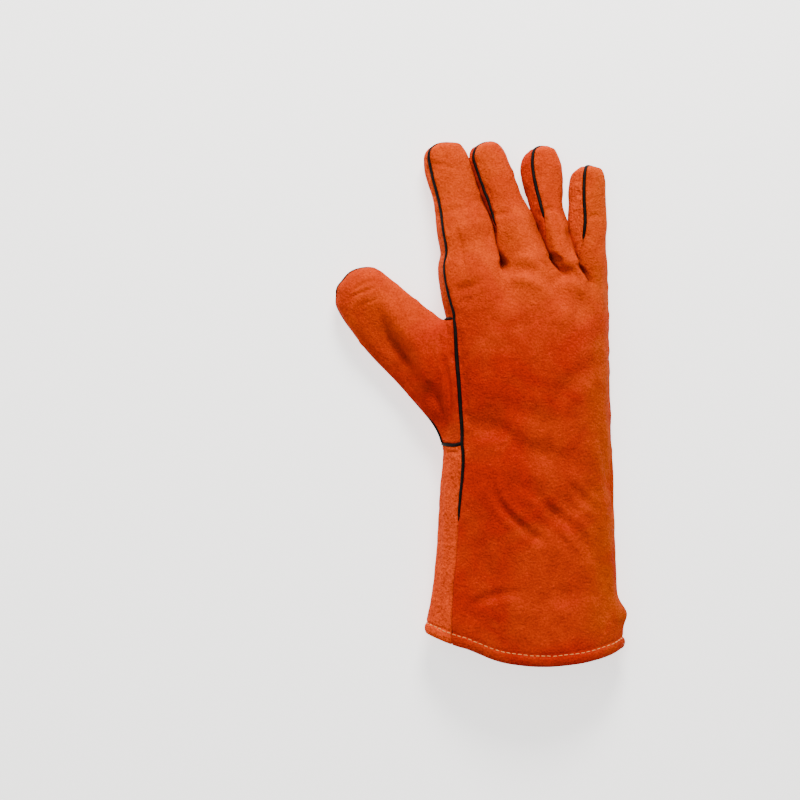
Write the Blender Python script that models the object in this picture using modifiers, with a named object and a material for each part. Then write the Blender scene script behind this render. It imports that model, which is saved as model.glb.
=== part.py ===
"""Leather welding gauntlet for the right hand, lying on its palm.

X points to the little finger's side, Y to the fingertips and Z up, in metres. The origin is on
the surface that the palm rests on, under the middle of the palm. The outer skin of the whole
glove is one coarse cage with Subdivision Surface. It is cut along its seams into the panels that
the real one is sewn from, each a wall of leather, and black piping lies in the seams.
"""
import math
from collections import namedtuple

import bpy
import numpy as np
from mathutils import Vector

# Lengths
CUFF_LENGTH = 0.169
PALM_LENGTH = 0.137
HEM_BOW = 0.017
THUMB_LENGTH = 0.113
FINGER_LENGTH = 0.0975

# Widths and heights of the glove as it lies
MOUTH_WIDTH = 0.152
PALM_WIDTH = 0.126
CUFF_HEIGHT = 0.047
PALM_HEIGHT = 0.046
FINGER_WIDTH = 0.036
FINGER_HEIGHT = 0.027
THUMB_WIDTH = 0.056
THUMB_HEIGHT = 0.030
THUMB_ANGLE = math.radians(41)

# Leather, piping and seams
LEATHER = 0.0016
HEM_WIDTH = 0.010
WELT_DIAMETER = 0.0025
SEAM_GAP = 0.0003
MITER = 2.2
FLOOR_SINK = 0.0012

SUBDIVISION = 1
FIT_ROUNDS = 4
OUTLINE_STEPS = 240

ORANGE = (0.80, 0.13, 0.012, 1)
DEEP_ORANGE = (0.66, 0.075, 0.010, 1)
PIPING_BLACK = (0.012, 0.011, 0.011, 1)

# One row for each ring of the tube of cuff and palm. along is a share of the cuff's length up to
# the cross seam, and of the palm's length beyond it. centre and width are shares of the palm's
# width, and height of the palm's. splay is how far the row has turned from the palm's size to
# the mouth's. lean shifts the crown to the thumb side, as a share of the width. seam_r and
# seam_u are where the two side seams lie, in degrees round the section from the thumb side.
Ring = namedtuple("Ring", "part along centre width height splay lean seam_r seam_u")
RINGS = [
    Ring("cuff", 0.00, -0.015, 1.01, 1.00, 1.00, 0.02, 47, 182),
    Ring("cuff", 0.00, -0.020, 1.00, 1.00, 1.00, 0.02, 47, 183),
    Ring("cuff", 0.27, -0.024, 1.02, 0.97, 0.58, 0.03, 45, 186),
    Ring("cuff", 0.50, -0.010, 1.02, 0.93, 0.25, 0.03, 43, 188),
    Ring("cuff", 0.75, -0.004, 1.03, 0.93, 0.10, 0.04, 46, 190),
    Ring("palm", 0.00, 0.000, 1.03, 0.96, 0.00, 0.05, 47, 192),
    Ring("palm", 0.17, 0.010, 1.00, 1.00, 0.00, 0.06, 43, 193),
    Ring("palm", 0.34, 0.015, 0.985, 1.04, 0.00, 0.07, 39, 194),
    Ring("palm", 0.51, 0.010, 0.99, 1.05, 0.00, 0.08, 38, 194),
    Ring("palm", 0.69, 0.006, 1.00, 1.04, 0.00, 0.09, 38, 194),
    Ring("palm", 0.79, -0.002, 1.01, 1.03, 0.00, 0.10, 37, 194),
    Ring("palm", 0.985, -0.018, 1.035, 0.97, 0.00, 0.10, 34, 194),
]
HEM_LOW = 0.18
HEM_ROW = 0
BAND_ROW = 1
WELT_END_ROW = 3
CROSS_ROW = 5
WEB_ROW = 9
FINGER_BASE_ROW = 10
CROTCH_ROW = 11

# Columns round the tube, as shares of the back's arc from the radial seam to the ulnar one, and
# of the front's arc on round to the radial seam
BACK_SHARES = [0, 0.07, 0.20, 0.345, 0.495, 0.65, 0.73, 0.805, 0.88, 0.95]
FRONT_SHARES = [0, 0.09, 0.175, 0.26, 0.325, 0.39, 0.50, 0.61, 0.735, 0.87]
COLUMNS = len(BACK_SHARES) + len(FRONT_SHARES)
RADIAL, ULNAR, THUMB_FRONT, THUMB_SIDE = 0, 10, 18, 19

# How far past the last ring each column of it lies towards the fingertips, in shares of the
# palm's length. The three low pairs are the crotches, whose own points lie at depth.
CROTCH_REACH = [-0.015, -0.010, -0.015, -0.048, -0.010, -0.052, -0.050, -0.092, -0.082, -0.085,
                -0.090, -0.085, -0.082, -0.092, -0.050, -0.052, -0.010, -0.048, -0.015, -0.010]
Crotch = namedtuple("Crotch", "back front reach height")
CROTCHES = [
    Crotch(3, 17, -0.020, 0.50),
    Crotch(5, 15, -0.024, 0.50),
    Crotch(7, 13, -0.080, 0.50),
]
BACK_CROTCHES = [crotch.back for crotch in CROTCHES]
FRONT_CROTCHES = [crotch.front for crotch in CROTCHES]
CROTCH_DIP = 0.10
FINGER_BASE_ROUND = 0.015

# One row for each finger: where its middle leaves the palm and where its tip lies, as shares of
# the palm's width across and of the palm's and a finger's length along, how far its middle bows
# to the little finger's side, then its width and height at root, middle and tip, as shares of a
# finger's, and where its back and front seams lie at root and tip, in degrees from the thumb
# side.
Finger = namedtuple(
    "Finger", "name front base root_x root_y tip_x tip_y bow widths heights seam_b seam_f"
)
FINGERS = [
    Finger("index", "palm_panel", (0, 1, 2, 3, "c0", 17, 18, 19),
           -0.342, 0.485, -0.532, 0.970, 0.03, (1.26, 1.00, 0.96), (1.50, 1.10, 0.92), (38, 42), (180, 200)),
    Finger("middle", "middle_front", ("c0", 3, 4, 5, "c1", 15, 16, 17),
           0.018, 0.490, -0.272, 0.970, 0.00, (0.90, 0.77, 0.80), (1.58, 1.14, 0.94), (0, 38), (180, 205)),
    Finger("ring", "ring_front", ("c1", 5, 6, 7, "c2", 13, 14, 15),
           0.258, 0.467, 0.072, 0.945, -0.14, (0.40, 0.64, 0.90), (1.42, 1.10, 0.88), (0, 66), (180, 212)),
    Finger("little", "palm_panel", ("c2", 7, 8, 9, 10, 11, 12, 13),
           0.422, 0.400, 0.376, 0.795, -0.07, (0.54, 0.82, 0.82), (1.10, 0.96, 0.82), (0, 76), (188, 222)),
]
# One row for each ring of a finger: its share of the way to the tip, how much of the root's and
# of the tip's size and of the seams' turn it has, and how far the tip's rounding draws it in
FingerRing = namedtuple("FingerRing", "along root tip turn draw")
FINGER_RINGS = [
    FingerRing(0.16, 0.72, 0.00, 0.20, 1.00),
    FingerRing(0.33, 0.52, 0.00, 0.70, 1.00),
    FingerRing(0.51, 0.00, 0.10, 1.00, 1.00),
    FingerRing(0.69, 0.00, 0.60, 1.00, 1.00),
    FingerRing(0.86, 0.00, 1.00, 1.00, 0.96),
    FingerRing(0.965, 0.00, 1.00, 1.00, 0.74),
]

# One row for each ring of the thumb: its share of the way from root to tip, how far it lies off
# the straight line to the web's side, its width and height as shares of the thumb's, and how
# much of the thumb's angle its section has turned by
ThumbRing = namedtuple("ThumbRing", "along side width height turn")
THUMB_RINGS = [
    ThumbRing(0.193, 0.013, 1.28, 1.33, 0.23),
    ThumbRing(0.379, 0.025, 1.07, 1.20, 0.48),
    ThumbRing(0.567, 0.032, 0.99, 1.10, 0.65),
    ThumbRing(0.731, 0.048, 0.89, 1.02, 0.77),
    ThumbRing(0.852, 0.062, 0.80, 0.93, 0.85),
    ThumbRing(0.934, 0.077, 0.64, 0.72, 0.92),
]
THUMB_ROOT_X = -0.48
THUMB_TIP_SIDE = 0.045
THUMB_TIP_WIDTH = 0.36
THUMB_TIP_TURN = 0.85
THUMB_SEAMS_LOW = 12
THUMB_LIFT = 0.93

# One row for each fold or dent pressed into the outer skin: its middle and its half length and
# half width as shares of the palm's width, its heading in degrees from X, and its depth as a
# share of the palm's height.
Fold = namedtuple("Fold", "name x y length width heading depth")
FOLDS = [
    Fold("knuckle valley, index to middle", -0.13, 0.40, 0.20, 0.07, 108, 0.09),
    Fold("knuckle valley, middle to ring", 0.17, 0.42, 0.20, 0.06, 112, 0.10),
    Fold("knuckle valley, ring to little", 0.34, 0.33, 0.18, 0.06, 104, 0.08),
    Fold("hollow below the index knuckle", -0.26, -0.42, 0.22, 0.09, 20, 0.07),
    Fold("wrist crease", 0.12, -0.62, 0.42, 0.07, 164, 0.06),
    Fold("slack fold of the wrist", 0.22, -0.95, 0.40, 0.08, 38, 0.06),
    Fold("upper cuff hollow", -0.05, -1.25, 0.34, 0.12, 80, 0.06),
    Fold("lower cuff fold", 0.20, -1.48, 0.30, 0.07, 20, 0.05),
    Fold("thumb trough", -0.80, 0.02, 0.26, 0.09, 140, 0.10),
    Fold("thumb root fold", -0.555, -0.16, 0.34, 0.045, 95, 0.09),
]

# How many edges of the smooth skin are left plain at each end of a piped seam, between fingers
# where the leather has no room for a cord, and how much shorter the cord is cut where it meets
# another
WELT_STOPS = {
    "index_welt": (1, 1),
    "middle_welt": (2, 1),
    "ring_welt": (2, 1),
    "little_welt": (2, 1),
    "thumb_welt": (2, 0),
    "cross_welt": (0, 0),
    "finger_base_welt": (2, 2),
}
MEET = WELT_DIAMETER + SEAM_GAP
WELT_CUTS = {
    "index_welt": (0, 0),
    "middle_welt": (0, 0),
    "ring_welt": (0, 0),
    "little_welt": (0, 0),
    "thumb_welt": (0, MEET),
    "cross_welt": (MEET, MEET),
    "finger_base_welt": (MEET, MEET),
}

PANELS = ["back_panel", "palm_panel", "thumb_back", "middle_front", "ring_front", "cuff_front"]


def share(low, high, part):
    """A value part of the way from low to high."""
    return low + (high - low) * part


def clear_scene():
    """Remove what the file holds."""
    for item in list(bpy.data.objects):
        bpy.data.objects.remove(item, do_unlink=True)


def new_collection(name):
    """A collection under the scene's own."""
    group = bpy.data.collections.new(name)
    bpy.context.scene.collection.children.link(group)
    return group


def leather(name, colour):
    """Split cowhide: matt, with the dye's colour."""
    material = bpy.data.materials.new(name)
    material.use_nodes = True
    shader = material.node_tree.nodes["Principled BSDF"]
    shader.inputs["Base Color"].default_value = colour
    shader.inputs["Roughness"].default_value = 0.9
    return material


def ring_y(ring):
    """How far along the glove a ring of the tube lies."""
    if ring.part == "cuff":
        return -PALM_LENGTH / 2 - CUFF_LENGTH * (1 - ring.along)
    return -PALM_LENGTH / 2 + PALM_LENGTH * ring.along


def ring_size(ring):
    """Middle, half width and height of a ring of the tube."""
    width = ring.width * share(PALM_WIDTH, MOUTH_WIDTH, ring.splay)
    height = ring.height * share(PALM_HEIGHT, CUFF_HEIGHT, ring.splay)
    return ring.centre * PALM_WIDTH, width / 2, height


def outline_point(ring, degrees):
    """A point of the ring's outline: domed above its sides, flat and just sunk below."""
    middle, half, height = ring_size(ring)
    turn = math.radians(degrees)
    across = -math.copysign(abs(math.cos(turn)) ** 0.88, math.cos(turn))
    side_z = 0.36 * height
    if math.sin(turn) >= 0:
        z = side_z + (height - side_z) * math.sin(turn)
    else:
        z = side_z - (side_z + FLOOR_SINK) * abs(math.sin(turn)) ** 0.5
    return middle + half * across - ring.lean * half * 2 * (z / height) ** 2, z


def arc_points(ring, start, end, shares):
    """Points at shares of the outline's length from one angle to another."""
    steps = [outline_point(ring, share(start, end, i / OUTLINE_STEPS)) for i in range(OUTLINE_STEPS + 1)]
    steps = np.array(steps)
    run = np.concatenate([[0], np.cumsum(np.linalg.norm(np.diff(steps, axis=0), axis=1))])
    at = np.array(shares) * run[-1]
    return list(zip(np.interp(at, run, steps[:, 0]), np.interp(at, run, steps[:, 1])))


def tube_ring(row):
    """The twenty points of a ring of cuff or palm."""
    ring = RINGS[row]
    section = arc_points(ring, ring.seam_r, ring.seam_u, BACK_SHARES)
    section += arc_points(ring, ring.seam_u, 360 + ring.seam_r, FRONT_SHARES)
    middle, half, _ = ring_size(ring)
    points = []
    for column, (x, z) in enumerate(section):
        y = ring_y(ring)
        if row in (HEM_ROW, BAND_ROW):
            y += HEM_BOW * (((x - middle) / half - HEM_LOW) ** 2 - HEM_LOW ** 2)
        if row == BAND_ROW:
            y += HEM_WIDTH
        if row == FINGER_BASE_ROW and column in (FRONT_CROTCHES[0], FRONT_CROTCHES[-1]):
            y += FINGER_BASE_ROUND * PALM_LENGTH
        if row == CROTCH_ROW:
            y += CROTCH_REACH[column] * PALM_LENGTH
            if column in BACK_CROTCHES:
                z -= CROTCH_DIP * PALM_HEIGHT
        points.append(Vector((x, y, z)))
    return points


class Cage:
    """The coarse outer skin: its points, its faces and the panel that each face belongs to."""

    def __init__(self):
        self.points = []
        self.faces = []
        self.panels = []

    def add_points(self, points):
        """Add points and give their numbers."""
        first = len(self.points)
        self.points.extend(points)
        return list(range(first, len(self.points)))

    def add_face(self, corners, panel):
        """Add a face with its corners anticlockwise from outside."""
        self.faces.append(corners)
        self.panels.append(PANELS.index(panel))


def tube_panel(row, column):
    """The panel that a face of the tube is cut from, or None over the thumb's opening."""
    if column < ULNAR:
        return "back_panel"
    if row < CROSS_ROW:
        return "cuff_front"
    if row < WEB_ROW and column >= THUMB_FRONT:
        return None
    if row == FINGER_BASE_ROW and 15 <= column < 17:
        return "middle_front"
    if row == FINGER_BASE_ROW and 13 <= column < 15:
        return "ring_front"
    return "palm_panel"


def add_tube(cage):
    """Cuff and palm as rings joined by rows of faces, open where the thumb leaves them."""
    rows = []
    for row in range(len(RINGS)):
        points = tube_ring(row)
        numbers = []
        for column, point in enumerate(points):
            inside = CROSS_ROW < row < WEB_ROW and column == THUMB_SIDE
            numbers.append(None if inside else cage.add_points([point])[0])
        rows.append(numbers)
    for row in range(len(rows) - 1):
        for column in range(COLUMNS):
            panel = tube_panel(row, column)
            after = (column + 1) % COLUMNS
            if panel:
                low, high = rows[row], rows[row + 1]
                cage.add_face((low[column], low[after], high[after], high[column]), panel)
    return rows


def add_crotches(cage, last):
    """The point between each two fingers, halfway from the back to the front."""
    points = []
    for crotch in CROTCHES:
        back, front = cage.points[last[crotch.back]], cage.points[last[crotch.front]]
        point = back.lerp(front, 1 - crotch.height)
        point.y = PALM_LENGTH * (0.5 + crotch.reach)
        points.append(point)
    return cage.add_points(points)


def add_sleeve(cage, base, rings, tags):
    """Rings of faces that lead on from the base ring."""
    loops = [base]
    for points in rings:
        loop = cage.add_points(points)
        for k in range(len(loop)):
            after = (k + 1) % len(loop)
            cage.add_face((loops[-1][k], loops[-1][after], loop[after], loop[k]), tags[k])
        loops.append(loop)
    return loops


def three_way(values, root, tip):
    """A finger's size between its root, middle and tip values."""
    return values[1] + (values[0] - values[1]) * root + (values[2] - values[1]) * tip


def finger_ring(finger, ring):
    """The eight points of a ring of a finger, from its first seam over the back."""
    start = Vector((finger.root_x * PALM_WIDTH, finger.root_y * PALM_LENGTH, 0))
    end = Vector((finger.tip_x * PALM_WIDTH, PALM_LENGTH / 2 + (finger.tip_y - 0.01) * FINGER_LENGTH, 0))
    heading = (end - start).normalized()
    across = Vector((heading.y, -heading.x, 0))
    half = three_way(finger.widths, ring.root, ring.tip) * FINGER_WIDTH / 2 * ring.draw
    full_rise = three_way(finger.heights, ring.root, ring.tip) * FINGER_HEIGHT / 2
    rise = full_rise * ring.draw
    bow = finger.bow * FINGER_WIDTH * 4 * ring.along * (1 - ring.along)
    centre = start.lerp(end, ring.along) + across * bow + Vector((0, 0, full_rise - FLOOR_SINK))
    back = share(*finger.seam_b, ring.turn)
    front = share(*finger.seam_f, ring.turn)
    points = []
    for k in range(8):
        degrees = share(back, front, k / 4) if k < 4 else share(front, 360 + back, (k - 4) / 4)
        turn = math.radians(degrees)
        points.append(centre - across * half * math.cos(turn) + Vector((0, 0, rise * math.sin(turn))))
    return points


def add_finger(cage, finger, base):
    """A finger's rings and its tip, closed where the seam crosses it."""
    tags = ["back_panel"] * 4 + [finger.front] * 4
    loops = add_sleeve(cage, base, [finger_ring(finger, ring) for ring in FINGER_RINGS], tags)
    end = Vector((finger.tip_x * PALM_WIDTH, PALM_LENGTH / 2 + finger.tip_y * FINGER_LENGTH, 0))
    end.z = finger.heights[2] * FINGER_HEIGHT / 2 - FLOOR_SINK
    tip = cage.add_points([end])[0]
    for k in (0, 2, 4, 6):
        loop = loops[-1]
        cage.add_face((loop[k], loop[k + 1], loop[(k + 2) % 8], tip), tags[k])
    return loops, tip


def thumb_frame():
    """The thumb's root, heading and sideways direction."""
    root_y = (ring_y(RINGS[CROSS_ROW]) + ring_y(RINGS[WEB_ROW])) / 2
    root = Vector((THUMB_ROOT_X * PALM_WIDTH, root_y, 0))
    heading = Vector((-math.cos(THUMB_ANGLE), math.sin(THUMB_ANGLE), 0))
    return root, heading, Vector((heading.y, -heading.x, 0))


def thumb_ring(ring):
    """The twelve points of a ring of the thumb, from its outer seam over the back."""
    root, heading, side = thumb_frame()
    turn = ring.turn * (math.pi / 2 - THUMB_ANGLE)
    across = Vector((math.sin(turn), math.cos(turn), 0))
    half = ring.width * THUMB_WIDTH / 2
    rise = ring.height * THUMB_HEIGHT / 2
    centre = root + heading * ring.along * THUMB_LENGTH + side * ring.side * THUMB_LENGTH
    lift = max(rise, THUMB_LIFT * THUMB_HEIGHT / 2) - FLOOR_SINK
    points = []
    for k in range(12):
        if k < 6:
            step = math.radians(share(-THUMB_SEAMS_LOW, 180 + THUMB_SEAMS_LOW, k / 6))
        else:
            step = math.radians(share(180 + THUMB_SEAMS_LOW, 360 - THUMB_SEAMS_LOW, (k - 6) / 6))
        offset = across * -half * math.cos(step)
        points.append(centre + offset + Vector((0, 0, lift + rise * math.sin(step))))
    return points


def add_thumb(cage, rows):
    """The thumb, from its opening in the palm's side to its tip."""
    base = [rows[CROSS_ROW][THUMB_SIDE]]
    base += [rows[row][RADIAL] for row in range(CROSS_ROW, WEB_ROW + 1)]
    base += [rows[WEB_ROW][THUMB_SIDE]]
    base += [rows[row][THUMB_FRONT] for row in range(WEB_ROW, CROSS_ROW - 1, -1)]
    tags = ["thumb_back"] * 6 + ["palm_panel"] * 6
    loops = add_sleeve(cage, base, [thumb_ring(ring) for ring in THUMB_RINGS], tags)
    root, heading, side = thumb_frame()
    turn = THUMB_TIP_TURN * (math.pi / 2 - THUMB_ANGLE)
    across = Vector((math.sin(turn), math.cos(turn), 0))
    end = root + (heading + side * THUMB_TIP_SIDE) * THUMB_LENGTH
    end.z = THUMB_LIFT * THUMB_HEIGHT / 2 - FLOOR_SINK
    reach = THUMB_TIP_WIDTH * THUMB_WIDTH / 2
    mid = cage.add_points([end + across * reach * k for k in (-1, 0, 1)])
    loop = loops[-1]
    spine = [loop[0]] + mid + [loop[6]]
    for k in range(4):
        cage.add_face((spine[k], loop[k + 1], loop[k + 2], spine[k + 1]), "thumb_back")
        cage.add_face((spine[k], spine[k + 1], loop[10 - k], loop[11 - k]), "palm_panel")
    return loops, mid


def smooth_positions(points, faces):
    """Where each cage point lands on the smooth surface, by the Catmull-Clark limit rule."""
    around = [dict() for _ in points]
    across = [[] for _ in points]
    for face in faces:
        for k in range(4):
            a, b, c = face[k], face[(k + 1) % 4], face[(k + 2) % 4]
            around[a][b] = around[a].get(b, 0) + 1
            around[b][a] = around[b].get(a, 0) + 1
            across[a].append(c)
    weights = np.zeros((len(points), len(points)))
    for i, near in enumerate(around):
        edge = [j for j, uses in near.items() if uses == 1]
        if edge:
            weights[i, i] = 4 / 6
            weights[i, edge] = 1 / 6
        else:
            n = len(near)
            weights[i, i] = n / (n + 5)
            weights[i, list(near)] = 4 / (n * (n + 5))
            weights[i, across[i]] = 1 / (n * (n + 5))
    return weights


def fit_cage(cage):
    """Push the cage out until its smooth surface passes through the points that were asked for."""
    wanted = np.array([tuple(point) for point in cage.points])
    weights = smooth_positions(cage.points, cage.faces)
    placed = wanted.copy()
    for _ in range(FIT_ROUNDS):
        placed += wanted - weights @ placed
    return placed


def build_cage():
    """The whole cage, and the seams on it as lists of point numbers."""
    cage = Cage()
    rows = add_tube(cage)
    last = rows[CROTCH_ROW]
    crotches = add_crotches(cage, last)
    fingers = {}
    for finger in FINGERS:
        base = [crotches[int(at[1])] if isinstance(at, str) else last[at] for at in finger.base]
        fingers[finger.name] = add_finger(cage, finger, base)
    return cage, seam_paths(rows, crotches, fingers, add_thumb(cage, rows))


def over_tip(finger):
    """A finger's seam from its first base point over the tip to its second."""
    loops, tip = finger
    up = [loop[0] for loop in loops]
    down = [loop[4] for loop in reversed(loops)]
    return up + [tip] + down


def seam_paths(rows, crotches, fingers, thumb):
    """The piped seams, each a run of cage points."""
    column = [row[RADIAL] for row in rows]
    paths = {
        "index_welt": column[WELT_END_ROW:CROTCH_ROW] + over_tip(fingers["index"]),
        "middle_welt": over_tip(fingers["middle"]),
        "ring_welt": over_tip(fingers["ring"]),
    }
    ulnar = [row[ULNAR] for row in rows]
    little = over_tip(fingers["little"])
    paths["little_welt"] = little + ulnar[WELT_END_ROW:CROTCH_ROW][::-1]
    loops, mid = thumb
    inner = [rows[WEB_ROW][RADIAL]] + [loop[6] for loop in loops]
    outer = [loop[0] for loop in reversed(loops)]
    paths["thumb_welt"] = inner + mid[::-1] + outer
    paths["cross_welt"] = [rows[CROSS_ROW][RADIAL]] + rows[CROSS_ROW][:ULNAR - 1:-1]
    low = rows[FINGER_BASE_ROW][13:18][::-1]
    base = [crotches[0], rows[CROTCH_ROW][17]] + low + [rows[CROTCH_ROW][13], crotches[2]]
    paths["finger_base_welt"] = base
    return paths


def make_guide(cage, points, group):
    """The cage as an object with its Subdivision Surface, kept as a guide."""
    mesh = bpy.data.meshes.new("glove_cage")
    mesh.from_pydata([tuple(point) for point in points], [], cage.faces)
    mesh.polygons.foreach_set("material_index", cage.panels)
    guide = bpy.data.objects.new("glove_cage", mesh)
    for panel in PANELS:
        mesh.materials.append(None)
    smooth = guide.modifiers.new("smooth", "SUBSURF")
    smooth.levels = SUBDIVISION
    smooth.render_levels = SUBDIVISION
    guide.hide_render = True
    guide.display_type = "WIRE"
    group.objects.link(guide)
    return guide


def fold_depth(point, normal):
    """How far the folds press the skin in at a point of the back."""
    depth = 0
    for fold in FOLDS:
        turn = math.radians(fold.heading)
        away = np.array([point[0] - fold.x * PALM_WIDTH, point[1] - fold.y * PALM_WIDTH])
        along = (away[0] * math.cos(turn) + away[1] * math.sin(turn)) / (fold.length * PALM_WIDTH)
        aside = (away[1] * math.cos(turn) - away[0] * math.sin(turn)) / (fold.width * PALM_WIDTH)
        if abs(along) < 1 and abs(aside) < 3:
            depth += fold.depth * PALM_HEIGHT * (1 - along ** 2) ** 2 * math.exp(-aside ** 2)
    return depth * min(max(normal[2] * 1.6, 0), 1)


def vertex_normals(points, faces):
    """Normals of a mesh of quads, each corner counting by its angle, so that the small faces
    between the fingers weigh as much as the large ones beside them."""
    normals = np.zeros_like(points)
    for k in range(4):
        here = points[faces[:, k]]
        ahead = points[faces[:, (k + 1) % 4]] - here
        behind = points[faces[:, k - 1]] - here
        flat = np.cross(ahead, behind)
        size = np.linalg.norm(flat, axis=1)
        angle = np.arctan2(size, (ahead * behind).sum(axis=1))
        np.add.at(normals, faces[:, k], flat * (angle / size)[:, None])
    return normals / np.linalg.norm(normals, axis=1)[:, None]


def edge_uses(faces):
    """The edges that only one of the faces has, in that face's direction."""
    seen = {}
    for number, face in enumerate(faces):
        for k in range(4):
            a, b = int(face[k]), int(face[(k + 1) % 4])
            seen.setdefault(frozenset((a, b)), []).append((a, b, number))
    return [uses[0] for uses in seen.values() if len(uses) == 1]


class Skin:
    """The smooth outer skin of the whole glove, after its folds and its rest on the floor."""

    def __init__(self, guide, paths):
        evaluated = guide.evaluated_get(bpy.context.evaluated_depsgraph_get())
        mesh = evaluated.to_mesh()
        self.points = np.array([tuple(vertex.co) for vertex in mesh.vertices])
        self.faces = np.array([tuple(face.vertices) for face in mesh.polygons])
        self.panel = np.array([face.material_index for face in mesh.polygons])
        self.paths = {name: self.trace(guide.data, path, WELT_STOPS[name])
                      for name, path in paths.items()}
        evaluated.to_mesh_clear()
        self.welted = {frozenset(step) for path in self.paths.values() for step in zip(path, path[1:])}
        self.hem = {frozenset(edge[:2]) for edge in edge_uses(self.faces)}
        self.hem_points = {point for edge in self.hem for point in edge}
        normals = vertex_normals(self.points, self.faces)
        for i, point in enumerate(self.points):
            self.points[i] = point - normals[i] * fold_depth(point, normals[i])
        self.points[:, 2] = np.maximum(self.points[:, 2], 0)
        self.normals = vertex_normals(self.points, self.faces)

    def trace(self, cage, path, stops):
        """The smooth skin's points along a run of cage points. Blender numbers the cage's own
        points first and then the new ones along each edge."""
        between = 2 ** SUBDIVISION - 1
        edges = {frozenset(edge.vertices): edge for edge in cage.edges}
        found = [path[0]]
        for a, b in zip(path, path[1:]):
            edge = edges[frozenset((a, b))]
            first = len(cage.vertices) + edge.index * between
            new = list(range(first, first + between))
            found += new if edge.vertices[0] == a else new[::-1]
            found.append(b)
        start, end = stops
        return found[start:len(found) - end]


def pull_back(skin, border, faces):
    """How far each border point moves into its panel, to leave room for the piping."""
    room = {}
    for a, b, number in border:
        edge = frozenset((a, b))
        if edge in skin.hem:
            gap = 0
        elif edge in skin.welted:
            gap = WELT_DIAMETER / 2 + SEAM_GAP
        else:
            gap = SEAM_GAP / 2
        corners = skin.points[faces[number]]
        normal = np.cross(corners[2] - corners[0], corners[3] - corners[1])
        inward = np.cross(normal, skin.points[b] - skin.points[a])
        inward /= np.linalg.norm(inward)
        for point in (a, b):
            room.setdefault(point, []).append((inward, gap))
    shifts = {}
    for point, sides in room.items():
        (first, gap_a), (second, gap_b) = sides[:2]
        grid = np.array([[1, first @ second], [first @ second, 1]])
        if abs(first @ second) > 0.9:
            middle = first + second
            shifts[point] = middle / np.linalg.norm(middle) * max(gap_a, gap_b)
        else:
            parts = np.linalg.solve(grid, np.array([gap_a, gap_b]))
            shift = first * parts[0] + second * parts[1]
            most = MITER * max(gap_a, gap_b)
            shifts[point] = shift * min(1, most / max(np.linalg.norm(shift), SEAM_GAP / 2))
    return shifts


def make_panel(name, skin, material, group):
    """One panel: its part of the skin, drawn back from the seams and given the leather's wall.
    Each quad starts at the corner that makes its split run the same way as its neighbour's."""
    faces = skin.faces[skin.panel == PANELS.index(name)]
    border = edge_uses(faces)
    shifts = pull_back(skin, border, faces)
    folded = {int(i) for face in faces for i in face
              if any(int(j) in skin.hem_points for j in face)}
    used = sorted({int(i) for i in faces.ravel()})
    place = {old: new for new, old in enumerate(used)}
    outer, inner = [], []
    for old in used:
        point = skin.points[old] + shifts.get(old, 0)
        wall = LEATHER * (2 if old in folded else 1)
        outer.append(point)
        inner.append(point - skin.normals[old] * wall)
    count = len(used)
    quads = [[place[int(i)] for i in face] for face in faces]
    quads += [[place[int(face[k])] + count for k in (0, 3, 2, 1)] for face in faces]
    for a, b, _ in border:
        rim = [place[b], place[a], place[a] + count, place[b] + count]
        quads.append(rim[1:] + rim[:1] if a < b else rim)
    mesh = bpy.data.meshes.new(name)
    mesh.from_pydata([tuple(point) for point in outer + inner], [], quads)
    mesh.materials.append(material)
    mesh.shade_smooth()
    mesh.set_sharp_from_angle(angle=math.radians(50))
    panel = bpy.data.objects.new(name, mesh)
    group.objects.link(panel)
    return panel


def trimmed(points, start, end):
    """A run of points shortened by a length at each end."""
    for cut in (start, end):
        while cut > 0:
            step = np.linalg.norm(points[1] - points[0])
            if step > cut:
                points[0] = points[0] + (points[1] - points[0]) * cut / step
                break
            points = points[1:]
            cut -= step
        points = points[::-1]
    return points


def make_welt(name, skin, cuts, material, group):
    """Piping along a seam: a round cord with flat ends."""
    points = trimmed([skin.points[i].copy() for i in skin.paths[name]], *cuts)
    for point in points:
        point[2] = max(point[2], WELT_DIAMETER / 2)
    curve = bpy.data.curves.new(name, "CURVE")
    curve.dimensions = "3D"
    curve.bevel_depth = WELT_DIAMETER / 2
    curve.bevel_resolution = 1
    curve.use_fill_caps = True
    line = curve.splines.new("POLY")
    line.points.add(len(points) - 1)
    for target, point in zip(line.points, points):
        target.co = (*point, 1)
    curve.materials.append(material)
    welt = bpy.data.objects.new(name, curve)
    group.objects.link(welt)
    return welt


def main():
    clear_scene()
    model = new_collection("welding_gauntlet")
    guides = new_collection("guides")
    cage, paths = build_cage()
    skin = Skin(make_guide(cage, fit_cage(cage), guides), paths)
    orange = leather("split_cowhide", ORANGE)
    deep = leather("split_cowhide_deep", DEEP_ORANGE)
    for name in PANELS:
        material = orange if name in ("back_panel", "thumb_back") else deep
        make_panel(name, skin, material, model)
    black = leather("piping", PIPING_BLACK)
    for name, cut in WELT_CUTS.items():
        make_welt(name, skin, cut, black, model)


if __name__ == "__main__":
    main()
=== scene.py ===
"""Right-hand welding gauntlet of orange split cowhide, dressed for a studio picture.

The fixed frame gives the glove's solids. Each leather panel and each run of piping is built again
here at the fineness that shows folds, rolled edges and puckers, from the same cage as the solids,
and stands for its solid. Metres, X to the little finger, Y to the fingertips, Z up.
"""
import heapq
import math
from collections import namedtuple

import bpy
import numpy as np
from bpy.props import FloatProperty, FloatVectorProperty, IntProperty, PointerProperty
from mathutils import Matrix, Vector
from mathutils.kdtree import KDTree


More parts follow.
